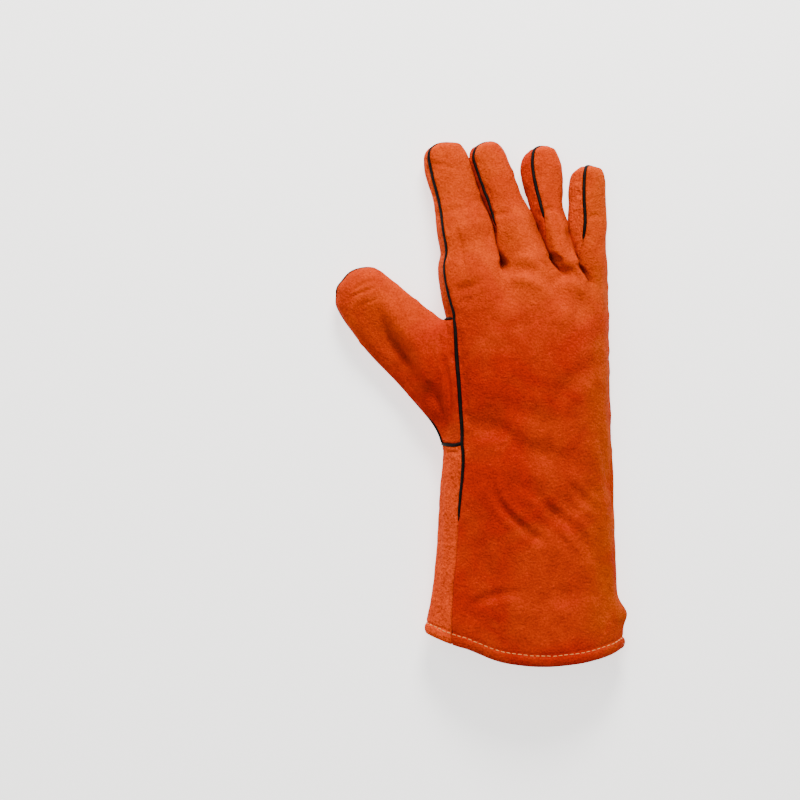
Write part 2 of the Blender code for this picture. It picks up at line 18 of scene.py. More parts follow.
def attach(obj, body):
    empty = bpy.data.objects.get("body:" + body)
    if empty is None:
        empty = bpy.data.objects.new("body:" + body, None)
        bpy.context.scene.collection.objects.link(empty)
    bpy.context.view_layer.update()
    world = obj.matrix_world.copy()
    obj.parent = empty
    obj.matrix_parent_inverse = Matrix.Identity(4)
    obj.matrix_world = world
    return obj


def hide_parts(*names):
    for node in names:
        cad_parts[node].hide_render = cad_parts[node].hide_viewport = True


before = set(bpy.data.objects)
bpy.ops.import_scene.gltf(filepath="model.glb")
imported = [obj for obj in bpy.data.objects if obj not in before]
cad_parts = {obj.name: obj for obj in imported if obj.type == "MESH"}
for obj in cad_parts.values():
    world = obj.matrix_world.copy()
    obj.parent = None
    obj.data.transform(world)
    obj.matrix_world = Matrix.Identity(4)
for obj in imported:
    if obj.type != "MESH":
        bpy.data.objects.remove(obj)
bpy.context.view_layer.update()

bl_info = {
    "name": "Welding gauntlet",
    "version": (1, 0, 0),
    "blender": (4, 5, 0),
    "location": "View3D > Sidebar > Gauntlet",
    "description": "Builds a sewn leather welding gauntlet with piped seams",
    "category": "Object",
}

# Lengths
CUFF_LENGTH = 0.169
PALM_LENGTH = 0.137
HEM_BOW = 0.017
THUMB_LENGTH = 0.113
FINGER_LENGTH = 0.0975

# Widths and heights of the glove as it lies
MOUTH_WIDTH = 0.152
PALM_WIDTH = 0.126
CUFF_HEIGHT = 0.047
PALM_HEIGHT = 0.046
FINGER_WIDTH = 0.036
FINGER_HEIGHT = 0.027
THUMB_WIDTH = 0.056
THUMB_HEIGHT = 0.030
THUMB_ANGLE = math.radians(41)

# Leather, piping and seams
LEATHER = 0.0016
HEM_WIDTH = 0.010
WELT_DIAMETER = 0.0025
SEAM_GAP = 0.0003
MITER = 2.2
FLOOR_SINK = 0.0012

FIT_ROUNDS = 4
OUTLINE_STEPS = 240
NO_LENGTH = 1e-15

# One row for each ring of the tube of cuff and palm. along is a share of the cuff's length up to
# the cross seam, and of the palm's length beyond it. centre and width are shares of the palm's
# width, and height of the palm's. splay is how far the row has turned from the palm's size to
# the mouth's. lean shifts the crown to the thumb side, as a share of the width. seam_r and
# seam_u are where the two side seams lie, in degrees round the section from the thumb side.
Ring = namedtuple("Ring", "part along centre width height splay lean seam_r seam_u")
RINGS = [
    Ring("cuff", 0.00, -0.015, 1.01, 1.00, 1.00, 0.02, 47, 182),
    Ring("cuff", 0.00, -0.020, 1.00, 1.00, 1.00, 0.02, 47, 183),
    Ring("cuff", 0.27, -0.024, 1.02, 0.97, 0.58, 0.03, 45, 186),
    Ring("cuff", 0.50, -0.010, 1.02, 0.93, 0.25, 0.03, 43, 188),
    Ring("cuff", 0.75, -0.004, 1.03, 0.93, 0.10, 0.04, 46, 190),
    Ring("palm", 0.00, 0.000, 1.03, 0.96, 0.00, 0.05, 47, 192),
    Ring("palm", 0.17, 0.010, 1.00, 1.00, 0.00, 0.06, 43, 193),
    Ring("palm", 0.34, 0.015, 0.985, 1.04, 0.00, 0.07, 39, 194),
    Ring("palm", 0.51, 0.010, 0.99, 1.05, 0.00, 0.08, 38, 194),
    Ring("palm", 0.69, 0.006, 1.00, 1.04, 0.00, 0.09, 38, 194),
    Ring("palm", 0.79, -0.002, 1.01, 1.03, 0.00, 0.10, 37, 194),
    Ring("palm", 0.985, -0.018, 1.035, 0.97, 0.00, 0.10, 34, 194),
]
HEM_LOW = 0.18
HEM_ROW = 0
BAND_ROW = 1
WELT_END_ROW = 3
CROSS_ROW = 5
WEB_ROW = 9
FINGER_BASE_ROW = 10
CROTCH_ROW = 11

# Columns round the tube, as shares of the back's arc from the radial seam to the ulnar one, and
# of the front's arc on round to the radial seam
BACK_SHARES = [0, 0.07, 0.20, 0.345, 0.495, 0.65, 0.73, 0.805, 0.88, 0.95]
FRONT_SHARES = [0, 0.09, 0.175, 0.26, 0.325, 0.39, 0.50, 0.61, 0.735, 0.87]
COLUMNS = len(BACK_SHARES) + len(FRONT_SHARES)
RADIAL, ULNAR, THUMB_FRONT, THUMB_SIDE = 0, 10, 18, 19

# How far past the last ring each column of it lies towards the fingertips, in shares of the
# palm's length. The three low pairs are the crotches, whose own points lie at depth.
CROTCH_REACH = [-0.015, -0.010, -0.015, -0.048, -0.010, -0.052, -0.050, -0.092, -0.082, -0.085,
                -0.090, -0.085, -0.082, -0.092, -0.050, -0.052, -0.010, -0.048, -0.015, -0.010]
Crotch = namedtuple("Crotch", "back front reach height")
CROTCHES = [
    Crotch(3, 17, -0.020, 0.50),
    Crotch(5, 15, -0.024, 0.50),
    Crotch(7, 13, -0.080, 0.50),
]
BACK_CROTCHES = [crotch.back for crotch in CROTCHES]
FRONT_CROTCHES = [crotch.front for crotch in CROTCHES]
CROTCH_DIP = 0.10
FINGER_BASE_ROUND = 0.015

# One row for each finger: where its middle leaves the palm and where its tip lies, as shares of
# the palm's width across and of the palm's and a finger's length along, how far its middle bows
# to the little finger's side, then its width and height at root, middle and tip, as shares of a
# finger's, and where its back and front seams lie at root and tip, in degrees from the thumb
# side.
Finger = namedtuple(
    "Finger", "name front base root_x root_y tip_x tip_y bow widths heights seam_b seam_f"
)
FINGERS = [
    Finger("index", "palm_panel", (0, 1, 2, 3, "c0", 17, 18, 19),
           -0.342, 0.485, -0.532, 0.970, 0.03, (1.26, 1.00, 0.96), (1.50, 1.10, 0.92), (38, 42), (180, 200)),
    Finger("middle", "middle_front", ("c0", 3, 4, 5, "c1", 15, 16, 17),
           0.018, 0.490, -0.272, 0.970, 0.00, (0.90, 0.77, 0.80), (1.58, 1.14, 0.94), (0, 38), (180, 205)),
    Finger("ring", "ring_front", ("c1", 5, 6, 7, "c2", 13, 14, 15),
           0.258, 0.467, 0.072, 0.945, -0.14, (0.40, 0.64, 0.90), (1.42, 1.10, 0.88), (0, 66), (180, 212)),
    Finger("little", "palm_panel", ("c2", 7, 8, 9, 10, 11, 12, 13),
           0.422, 0.400, 0.376, 0.795, -0.07, (0.54, 0.82, 0.82), (1.10, 0.96, 0.82), (0, 76), (188, 222)),
]
# One row for each ring of a finger: its share of the way to the tip, how much of the root's and
# of the tip's size and of the seams' turn it has, and how far the tip's rounding draws it in
FingerRing = namedtuple("FingerRing", "along root tip turn draw")
FINGER_RINGS = [
    FingerRing(0.16, 0.72, 0.00, 0.20, 1.00),
    FingerRing(0.33, 0.52, 0.00, 0.70, 1.00),
    FingerRing(0.51, 0.00, 0.10, 1.00, 1.00),
    FingerRing(0.69, 0.00, 0.60, 1.00, 1.00),
    FingerRing(0.86, 0.00, 1.00, 1.00, 0.96),
    FingerRing(0.965, 0.00, 1.00, 1.00, 0.74),
]

# One row for each ring of the thumb: its share of the way from root to tip, how far it lies off
# the straight line to the web's side, its width and height as shares of the thumb's, and how
# much of the thumb's angle its section has turned by
ThumbRing = namedtuple("ThumbRing", "along side width height turn")
THUMB_RINGS = [
    ThumbRing(0.193, 0.013, 1.28, 1.33, 0.23),
    ThumbRing(0.379, 0.025, 1.07, 1.20, 0.48),
    ThumbRing(0.567, 0.032, 0.99, 1.10, 0.65),
    ThumbRing(0.731, 0.048, 0.89, 1.02, 0.77),
    ThumbRing(0.852, 0.062, 0.80, 0.93, 0.85),
    ThumbRing(0.934, 0.077, 0.64, 0.72, 0.92),
]
THUMB_ROOT_X = -0.48
THUMB_TIP_SIDE = 0.045
THUMB_TIP_WIDTH = 0.36
THUMB_TIP_TURN = 0.85
THUMB_SEAMS_LOW = 12
THUMB_LIFT = 0.93

# One row for each fold or dent pressed into the outer skin: its middle and its half length and
# half width as shares of the palm's width, its heading in degrees from X, and its depth as a
# share of the palm's height.
Fold = namedtuple("Fold", "name x y length width heading depth")
FOLDS = [
    Fold("knuckle valley, index to middle", -0.13, 0.40, 0.20, 0.07, 108, 0.09),
    Fold("knuckle valley, middle to ring", 0.17, 0.42, 0.20, 0.06, 112, 0.10),
    Fold("knuckle valley, ring to little", 0.34, 0.33, 0.18, 0.06, 104, 0.08),
    Fold("hollow below the index knuckle", -0.26, -0.42, 0.22, 0.09, 20, 0.07),
    Fold("wrist crease", 0.12, -0.62, 0.42, 0.07, 164, 0.06),
    Fold("slack fold of the wrist", 0.22, -0.95, 0.40, 0.08, 38, 0.06),
    Fold("upper cuff hollow", -0.05, -1.25, 0.34, 0.12, 80, 0.06),
    Fold("lower cuff fold", 0.20, -1.48, 0.30, 0.07, 20, 0.05),
    Fold("thumb trough", -0.80, 0.02, 0.26, 0.09, 140, 0.10),
    Fold("thumb root fold", -0.555, -0.16, 0.34, 0.045, 95, 0.09),
]

PANELS = ["back_panel", "palm_panel", "thumb_back", "middle_front", "ring_front", "cuff_front"]


def share(low, high, part):
    """A value part of the way from low to high."""
    return low + (high - low) * part


def ring_y(ring):
    """How far along the glove a ring of the tube lies."""
    if ring.part == "cuff":
        return -PALM_LENGTH / 2 - CUFF_LENGTH * (1 - ring.along)
    return -PALM_LENGTH / 2 + PALM_LENGTH * ring.along


def ring_size(ring):
    """Middle, half width and height of a ring of the tube."""
    width = ring.width * share(PALM_WIDTH, MOUTH_WIDTH, ring.splay)
    height = ring.height * share(PALM_HEIGHT, CUFF_HEIGHT, ring.splay)
    return ring.centre * PALM_WIDTH, width / 2, height


def outline_point(ring, degrees):
    """A point of the ring's outline: domed above its sides, flat and just sunk below."""
    middle, half, height = ring_size(ring)
    turn = math.radians(degrees)
    across = -math.copysign(abs(math.cos(turn)) ** 0.88, math.cos(turn))
    side_z = 0.36 * height
    if math.sin(turn) >= 0:
        z = side_z + (height - side_z) * math.sin(turn)
    else:
        z = side_z - (side_z + FLOOR_SINK) * abs(math.sin(turn)) ** 0.5
    return middle + half * across - ring.lean * half * 2 * (z / height) ** 2, z


def arc_points(ring, start, end, shares):
    """Points at shares of the outline's length from one angle to another."""
    steps = [outline_point(ring, share(start, end, i / OUTLINE_STEPS)) for i in range(OUTLINE_STEPS + 1)]
    steps = np.array(steps)
    run = np.concatenate([[0], np.cumsum(np.linalg.norm(np.diff(steps, axis=0), axis=1))])
    at = np.array(shares) * run[-1]
    return list(zip(np.interp(at, run, steps[:, 0]), np.interp(at, run, steps[:, 1])))


def tube_ring(row):
    """The twenty points of a ring of cuff or palm."""
    ring = RINGS[row]
    section = arc_points(ring, ring.seam_r, ring.seam_u, BACK_SHARES)
    section += arc_points(ring, ring.seam_u, 360 + ring.seam_r, FRONT_SHARES)
    middle, half, _ = ring_size(ring)
    points = []
    for column, (x, z) in enumerate(section):
        y = ring_y(ring)
        if row in (HEM_ROW, BAND_ROW):
            y += HEM_BOW * (((x - middle) / half - HEM_LOW) ** 2 - HEM_LOW ** 2)
        if row == BAND_ROW:
            y += HEM_WIDTH
        if row == FINGER_BASE_ROW and column in (FRONT_CROTCHES[0], FRONT_CROTCHES[-1]):
            y += FINGER_BASE_ROUND * PALM_LENGTH
        if row == CROTCH_ROW:
            y += CROTCH_REACH[column] * PALM_LENGTH
            if column in BACK_CROTCHES:
                z -= CROTCH_DIP * PALM_HEIGHT
        points.append(Vector((x, y, z)))
    return points


class Cage:
    """The coarse outer skin: its points, its faces and the panel that each face belongs to."""

    def __init__(self):
        self.points = []
        self.faces = []
        self.panels = []

    def add_points(self, points):
        """Add points and give their numbers."""
        first = len(self.points)
        self.points.extend(points)
        return list(range(first, len(self.points)))

    def add_face(self, corners, panel):
        """Add a face with its corners anticlockwise from outside."""
        self.faces.append(corners)
        self.panels.append(PANELS.index(panel))


def tube_panel(row, column):
    """The panel that a face of the tube is cut from, or None over the thumb's opening."""
    if column < ULNAR:
        return "back_panel"
    if row < CROSS_ROW:
        return "cuff_front"
    if row < WEB_ROW and column >= THUMB_FRONT:
        return None
    if row == FINGER_BASE_ROW and 15 <= column < 17:
        return "middle_front"
    if row == FINGER_BASE_ROW and 13 <= column < 15:
        return "ring_front"
    return "palm_panel"


def add_tube(cage):
    """Cuff and palm as rings joined by rows of faces, open where the thumb leaves them."""
    rows = []
    for row in range(len(RINGS)):
        points = tube_ring(row)
        numbers = []
        for column, point in enumerate(points):
            inside = CROSS_ROW < row < WEB_ROW and column == THUMB_SIDE
            numbers.append(None if inside else cage.add_points([point])[0])
        rows.append(numbers)
    for row in range(len(rows) - 1):
        for column in range(COLUMNS):
            panel = tube_panel(row, column)
            after = (column + 1) % COLUMNS
            if panel:
                low, high = rows[row], rows[row + 1]
                cage.add_face((low[column], low[after], high[after], high[column]), panel)
    return rows


def add_crotches(cage, last):
    """The point between each two fingers, halfway from the back to the front."""
    points = []
    for crotch in CROTCHES:
        back, front = cage.points[last[crotch.back]], cage.points[last[crotch.front]]
        point = back.lerp(front, 1 - crotch.height)
        point.y = PALM_LENGTH * (0.5 + crotch.reach)
        points.append(point)
    return cage.add_points(points)


def add_sleeve(cage, base, rings, tags):
    """Rings of faces that lead on from the base ring."""
    loops = [base]
    for points in rings:
        loop = cage.add_points(points)
        for k in range(len(loop)):
            after = (k + 1) % len(loop)
            cage.add_face((loops[-1][k], loops[-1][after], loop[after], loop[k]), tags[k])
        loops.append(loop)
    return loops


def three_way(values, root, tip):
    """A finger's size between its root, middle and tip values."""
    return values[1] + (values[0] - values[1]) * root + (values[2] - values[1]) * tip


def finger_ring(finger, ring):
    """The eight points of a ring of a finger, from its first seam over the back."""
    start = Vector((finger.root_x * PALM_WIDTH, finger.root_y * PALM_LENGTH, 0))
    end = Vector((finger.tip_x * PALM_WIDTH, PALM_LENGTH / 2 + (finger.tip_y - 0.01) * FINGER_LENGTH, 0))
    heading = (end - start).normalized()
    across = Vector((heading.y, -heading.x, 0))
    half = three_way(finger.widths, ring.root, ring.tip) * FINGER_WIDTH / 2 * ring.draw
    full_rise = three_way(finger.heights, ring.root, ring.tip) * FINGER_HEIGHT / 2
    rise = full_rise * ring.draw
    bow = finger.bow * FINGER_WIDTH * 4 * ring.along * (1 - ring.along)
    centre = start.lerp(end, ring.along) + across * bow + Vector((0, 0, full_rise - FLOOR_SINK))
    back = share(*finger.seam_b, ring.turn)
    front = share(*finger.seam_f, ring.turn)
    points = []
    for k in range(8):
        degrees = share(back, front, k / 4) if k < 4 else share(front, 360 + back, (k - 4) / 4)
        turn = math.radians(degrees)
        points.append(centre - across * half * math.cos(turn) + Vector((0, 0, rise * math.sin(turn))))
    return points


def add_finger(cage, finger, base):
    """A finger's rings and its tip, closed where the seam crosses it."""
    tags = ["back_panel"] * 4 + [finger.front] * 4
    loops = add_sleeve(cage, base, [finger_ring(finger, ring) for ring in FINGER_RINGS], tags)
    end = Vector((finger.tip_x * PALM_WIDTH, PALM_LENGTH / 2 + finger.tip_y * FINGER_LENGTH, 0))
    end.z = finger.heights[2] * FINGER_HEIGHT / 2 - FLOOR_SINK
    tip = cage.add_points([end])[0]
    for k in (0, 2, 4, 6):
        loop = loops[-1]
        cage.add_face((loop[k], loop[k + 1], loop[(k + 2) % 8], tip), tags[k])
    return loops, tip


def thumb_frame():
    """The thumb's root, heading and sideways direction."""
    root_y = (ring_y(RINGS[CROSS_ROW]) + ring_y(RINGS[WEB_ROW])) / 2
    root = Vector((THUMB_ROOT_X * PALM_WIDTH, root_y, 0))
    heading = Vector((-math.cos(THUMB_ANGLE), math.sin(THUMB_ANGLE), 0))
    return root, heading, Vector((heading.y, -heading.x, 0))


def thumb_ring(ring):
    """The twelve points of a ring of the thumb, from its outer seam over the back."""
    root, heading, side = thumb_frame()
    turn = ring.turn * (math.pi / 2 - THUMB_ANGLE)
    across = Vector((math.sin(turn), math.cos(turn), 0))
    half = ring.width * THUMB_WIDTH / 2
    rise = ring.height * THUMB_HEIGHT / 2
    centre = root + heading * ring.along * THUMB_LENGTH + side * ring.side * THUMB_LENGTH
    lift = max(rise, THUMB_LIFT * THUMB_HEIGHT / 2) - FLOOR_SINK
    points = []
    for k in range(12):
        if k < 6:
            step = math.radians(share(-THUMB_SEAMS_LOW, 180 + THUMB_SEAMS_LOW, k / 6))
        else:
            step = math.radians(share(180 + THUMB_SEAMS_LOW, 360 - THUMB_SEAMS_LOW, (k - 6) / 6))
        offset = across * -half * math.cos(step)
        points.append(centre + offset + Vector((0, 0, lift + rise * math.sin(step))))
    return points


def add_thumb(cage, rows):
    """The thumb, from its opening in the palm's side to its tip."""
    base = [rows[CROSS_ROW][THUMB_SIDE]]
    base += [rows[row][RADIAL] for row in range(CROSS_ROW, WEB_ROW + 1)]
    base += [rows[WEB_ROW][THUMB_SIDE]]
    base += [rows[row][THUMB_FRONT] for row in range(WEB_ROW, CROSS_ROW - 1, -1)]
    tags = ["thumb_back"] * 6 + ["palm_panel"] * 6
    loops = add_sleeve(cage, base, [thumb_ring(ring) for ring in THUMB_RINGS], tags)
    root, heading, side = thumb_frame()
    turn = THUMB_TIP_TURN * (math.pi / 2 - THUMB_ANGLE)
    across = Vector((math.sin(turn), math.cos(turn), 0))
    end = root + (heading + side * THUMB_TIP_SIDE) * THUMB_LENGTH
    end.z = THUMB_LIFT * THUMB_HEIGHT / 2 - FLOOR_SINK
    reach = THUMB_TIP_WIDTH * THUMB_WIDTH / 2
    mid = cage.add_points([end + across * reach * k for k in (-1, 0, 1)])
    loop = loops[-1]
    spine = [loop[0]] + mid + [loop[6]]
    for k in range(4):
        cage.add_face((spine[k], loop[k + 1], loop[k + 2], spine[k + 1]), "thumb_back")
        cage.add_face((spine[k], spine[k + 1], loop[10 - k], loop[11 - k]), "palm_panel")
    return loops, mid


def smooth_positions(points, faces):
    """Where each cage point lands on the smooth surface, by the Catmull-Clark limit rule."""
    around = [dict() for _ in points]
    across = [[] for _ in points]
    for face in faces:
        for k in range(4):
            a, b, c = face[k], face[(k + 1) % 4], face[(k + 2) % 4]
            around[a][b] = around[a].get(b, 0) + 1
            around[b][a] = around[b].get(a, 0) + 1
            across[a].append(c)
    weights = np.zeros((len(points), len(points)))
    for i, near in enumerate(around):
        edge = [j for j, uses in near.items() if uses == 1]
        if edge:
            weights[i, i] = 4 / 6
            weights[i, edge] = 1 / 6
        else:
            n = len(near)
            weights[i, i] = n / (n + 5)
            weights[i, list(near)] = 4 / (n * (n + 5))
            weights[i, across[i]] = 1 / (n * (n + 5))
    return weights


def fit_cage(cage):
    """Push the cage out until its smooth surface passes through the points that were asked for."""
    wanted = np.array([tuple(point) for point in cage.points])
    weights = smooth_positions(cage.points, cage.faces)
    placed = wanted.copy()
    for _ in range(FIT_ROUNDS):
        placed += wanted - weights @ placed
    return placed


def build_cage():
    """The whole cage, and the seams on it as lists of point numbers."""
    cage = Cage()
    rows = add_tube(cage)
    last = rows[CROTCH_ROW]
    crotches = add_crotches(cage, last)
    fingers = {}
    for finger in FINGERS:
        base = [crotches[int(at[1])] if isinstance(at, str) else last[at] for at in finger.base]
        fingers[finger.name] = add_finger(cage, finger, base)
    return cage, seam_paths(rows, crotches, fingers, add_thumb(cage, rows))


def over_tip(finger):
    """A finger's seam from its first base point over the tip to its second."""
    loops, tip = finger
    up = [loop[0] for loop in loops]
    down = [loop[4] for loop in reversed(loops)]
    return up + [tip] + down


def seam_paths(rows, crotches, fingers, thumb):
    """The piped seams, each a run of cage points."""
    column = [row[RADIAL] for row in rows]
    paths = {
        "index_welt": column[WELT_END_ROW:CROTCH_ROW] + over_tip(fingers["index"]),
        "middle_welt": over_tip(fingers["middle"]),
        "ring_welt": over_tip(fingers["ring"]),
    }
    ulnar = [row[ULNAR] for row in rows]
    little = over_tip(fingers["little"])
    paths["little_welt"] = little + ulnar[WELT_END_ROW:CROTCH_ROW][::-1]
    loops, mid = thumb
    inner = [rows[WEB_ROW][RADIAL]] + [loop[6] for loop in loops]
    outer = [loop[0] for loop in reversed(loops)]
    paths["thumb_welt"] = inner + mid[::-1] + outer
    paths["cross_welt"] = [rows[CROSS_ROW][RADIAL]] + rows[CROSS_ROW][:ULNAR - 1:-1]
    low = rows[FINGER_BASE_ROW][13:18][::-1]
    base = [crotches[0], rows[CROTCH_ROW][17]] + low + [rows[CROTCH_ROW][13], crotches[2]]
    paths["finger_base_welt"] = base
    return paths


def vertex_normals(points, faces):
    """Normals of a mesh of quads, each corner counting by its angle, so that the small faces
    between the fingers weigh as much as the large ones beside them."""
    normals = np.zeros_like(points)
    for k in range(4):
        here = points[faces[:, k]]
        ahead = points[faces[:, (k + 1) % 4]] - here
        behind = points[faces[:, k - 1]] - here
        flat = np.cross(ahead, behind)
        size = np.maximum(np.linalg.norm(flat, axis=1), NO_LENGTH)
        angle = np.arctan2(size, (ahead * behind).sum(axis=1))
        np.add.at(normals, faces[:, k], flat * (angle / size)[:, None])
    return normals / np.maximum(np.linalg.norm(normals, axis=1), NO_LENGTH)[:, None]


def edge_uses(faces):
    """The edges that only one of the faces has, in that face's direction."""
    seen = {}
    for number, face in enumerate(faces):
        for k in range(4):
            a, b = int(face[k]), int(face[(k + 1) % 4])
            seen.setdefault(frozenset((a, b)), []).append((a, b, number))
    return [uses[0] for uses in seen.values() if len(uses) == 1]


# The dressed glove: the levels that its skin and its inside are divided to
FINE = 4
INSIDE = 3

# One row for each run of piping: how many fine edges of its seam stay plain at its start and its
# end, and how far it is cut short where it meets another run, as shares of its diameter and gap
Run = namedtuple("Run", "plain_start plain_end cut_start cut_end")
RUNS = {
    "index_welt": Run(10, 10, 0, 0),
    "middle_welt": Run(36, 10, 0, 0),
    "ring_welt": Run(43, 10, 0, 0),
    "little_welt": Run(37, 10, 0, 0),
    "thumb_welt": Run(3, 0, 0, 0.6),
    "cross_welt": Run(0, 0, 0.5, 0.5),
    "finger_base_welt": Run(17, 17, 0, 0),
}

# How a panel's edge turns in at its seam, in millimetres: how far each ring of the edge lies from
# the seam's line and how far below the skin
PIPED_EDGE = [(2.0, 0.00), (1.45, 0.22), (1.08, 0.75), (1.00, 1.60), (1.50, 1.70)]
PLAIN_EDGE = [(1.3, 0.05), (0.80, 0.28), (0.42, 0.80), (0.20, 1.25), (0.00, 1.62)]
HEM_EDGE = [(0.0, 0.00), (-0.55, 0.45), (-0.70, 1.55), (-0.35, 2.70), (0.30, 3.10)]
EDGE_REACH = 0.008
# Two edges of a panel that run on in nearly one direction count as one, edges that are nearly
# parallel are solved as such, and a move in millimetres that is too small to scale
RUNS_ON = 0.85
NEARLY_PARALLEL = 0.02
NO_MOVE = 0.001

# One row for each crease or fold of the back and thumb, in millimetres: the two ends and how far
# the line bows to its left, its half width, its depth (a ridge where negative), and how much
# leather stands up as a lip on each side of it
Crease = namedtuple("Crease", "name x1 y1 x2 y2 bow width depth lip")
CREASES = [
    Crease("fold beside the thumb's seam", -65.5, 1, -59.5, -58, 2.0, 1.9, 3.2, 0.9),
    Crease("web pucker", -64, 26, -63.5, 13, 0.5, 1.5, 1.8, 0.5),
    Crease("second web pucker", -70, 20, -66, 6, -0.5, 1.8, 1.0, 0.4),
    Crease("thumb flank", -126, 42, -74, -44, -5, 11.0, 7.0, 0.15),
    Crease("thumb trough", -116, 38, -78, -30, -4, 4.0, 2.0, 0.6),
    Crease("thumb ridge", -108, 48, -68, -20, -3, 7.0, -1.8, 0.0),
    Crease("thumb root hollow", -78, -22, -60, -66, -1.0, 6.5, 5.5, 0.4),
    Crease("thumb tip wrinkle", -138, 42, -116, 51, 1.0, 1.2, 0.8, 0.4),
    Crease("thumb tip wrinkle, second", -134, 50, -116, 57, 1.0, 1.3, 0.7, 0.4),
    Crease("thumb tip wrinkle, third", -130, 36, -114, 42, 1.0, 1.3, 0.6, 0.3),
    Crease("middle finger's side crease", -33, 119, -18, 66, 1.5, 2.2, 2.8, 0.9),
    Crease("index knuckle pull", -58, 48, -34, 58, -2.0, 3.0, 1.3, 0.5),
    Crease("hollow beside the first crotch", -16, 62, 8, 60, 3.5, 4.6, 2.6, 0.7),
    Crease("pucker under the middle finger", 13, 76, 26, 69, 2.0, 2.0, 2.0, 0.8),
    Crease("pucker beside it", 6, 72, 22, 62, 2.5, 2.2, 1.3, 0.6),
    Crease("hollow under the ring finger", 22, 60, 44, 57, 4.0, 4.2, 2.8, 0.7),
    Crease("pucker at the little crotch", 36, 70, 45, 60, 1.2, 1.7, 1.6, 0.6),
    Crease("first knuckle ridge", -20, 62, 22, 42, 3.0, 5.0, -1.3, 0.0),
    Crease("second knuckle ridge", 24, 52, 48, 44, 2.0, 4.5, -1.1, 0.0),
    Crease("hand valley", 14, -44, 60, -2, 4.0, 6.5, 1.8, 0.5),
    Crease("hand valley, lower", -18, -34, 26, -54, -4.0, 7.5, 1.4, 0.4),
    Crease("hand dent", -38, -58, -6, -68, 4.0, 6.0, 1.9, 0.6),
    Crease("wrist crease", -30, -92, -5, -132, -5.0, 2.8, 2.0, 1.0),
    Crease("wrist pull, upper", -12, -98, 24, -128, 4.0, 3.2, 1.5, 1.0),
    Crease("wrist pull, middle", -22, -114, 16, -146, -3.0, 3.0, 1.7, 0.9),
    Crease("wrist pull, lower", 6, -116, 46, -150, 5.0, 3.6, 1.8, 0.8),
    Crease("wrist streak", 19, -126, 27, -152, 1.0, 2.0, 1.2, 0.7),
    Crease("wrist streak, outer", 38, -128, 47, -158, 1.5, 2.6, 1.3, 0.6),
    Crease("wrist pull, short", 30, -96, 58, -122, -2.0, 3.0, 1.4, 0.6),
    Crease("wrist dimple", -2, -96, 12, -108, 2.0, 3.4, 1.4, 0.8),
    Crease("cuff valley", -34, -150, -30, -186, 1.5, 4.5, 1.6, 0.5),
    Crease("cuff valley, middle", 20, -152, 26, -194, -2.0, 5.5, 1.5, 0.4),
    Crease("cuff dent", -46, -192, -4, -182, 3.0, 3.2, 1.7, 0.8),
    Crease("cuff swell", -34, -202, 40, -196, 5.0, 8.0, -1.3, 0.0),
    Crease("cuff fold at the side", 53, -140, 60, -206, 1.0, 4.0, 1.8, 0.6),
    Crease("side pull", 54, -56, 66, -128, 3.0, 4.2, 1.7, 0.6),
    Crease("radial strip's fold", -65, -92, -68, -168, -1.5, 2.4, 1.6, 0.6),
    Crease("pucker under the cross seam", -66, -75, -50, -75, 0.5, 1.3, 1.2, 0.7),
    Crease("index side pull", -56, 100, -50, 62, 1.5, 1.8, 1.2, 0.5),
    Crease("index tip wrinkle", -73, 146, -56, 142, 1.0, 1.6, 0.8, 0.4),
    Crease("index joint", -66, 108, -46, 112, 1.0, 2.6, 0.9, 0.4),
    Crease("middle joint", -30, 104, -10, 108, 1.5, 2.6, 1.0, 0.4),
    Crease("ring joint", 8, 108, 22, 112, 1.0, 2.0, 0.9, 0.4),
    Crease("ring side fold", 14, 118, 26, 76, 1.5, 2.0, 1.6, 0.6),
    Crease("little joint", 44, 104, 58, 106, 1.0, 2.2, 0.9, 0.4),
]
# Where a crease's lips stand and how narrow they are, in its half widths, their height as a share
# of its depth, and how bluntly it runs out at its ends
LIP_PLACE = 1.9
LIP_NARROW = 1.4
LIP_HEIGHT = 0.5
CREASE_RUNOUT = 0.7
# Creases are pressed only into what faces up: how fast they fade out down the sides
UP_SLOPE = 1.8
UP_LEVEL = 0.15

# One row for each gap between two fingers that lie against each other, in millimetres: four points
# up the middle of the gap, and how far up it stays closed and where it's open again
Slit = namedtuple("Slit", "name x1 y1 x2 y2 x3 y3 x4 y4 closed open")
SLITS = [
    Slit("index and middle", -21.0, 67, -26.0, 96, -38.8, 132, -45.0, 152, 147, 158),
    Slit("middle and ring", 17.0, 74, 5.1, 104, -6.8, 136, -9.0, 142, 104, 122),
    Slit("ring and little", 39.5, 68, 32.7, 92, 29.6, 120, 29.0, 126, 98, 117),
]
# How far the closed walls pass into each other, how far from a wall the leather follows it, the
# steps in which the gap is measured, and how near its step a point counts, as a share of the step
SLIT_GAP = -0.0005
SLIT_REACH = 0.012
SLIT_STEP = 0.002
SLIT_NEAR = 0.45

# One row for each place where the outline is pushed in or out, in millimetres: where, how far round
# it the push reaches across and along the glove, and how far it moves the leather
Push = namedtuple("Push", "name x y wide long across along")
PUSHES = [
    Push("ear of the hem", 74.5, -199, 9, 9, 6.8, 0),
    Push("lower corner of the hem", 75, -225, 10, 10, -1.05, 1.05),
    Push("ring finger's bulge", 26, 133, 5, 18, 2.3, 0),
    Push("little finger's bulge", 33.5, 128, 5, 18, -1.3, 0),
    Push("corner of the thumb's tip", -149.5, 47.5, 6, 6, 1.9, 0.4),
    Push("thumb's side below the tip", -148.5, 37, 5, 7, -1.6, -0.8),
]

# One row for each size of lumpiness in the leather, in millimetres: its grain, its height, and how
# much longer than wide it is along the glove
Lump = namedtuple("Lump", "grain height stretch seed")
LUMPS = [
    Lump(36, 1.7, 1.5, 3),
    Lump(14, 0.75, 1.3, 11),
    Lump(6, 0.32, 1.1, 23),
    Lump(2.8, 0.15, 1.0, 37),
]
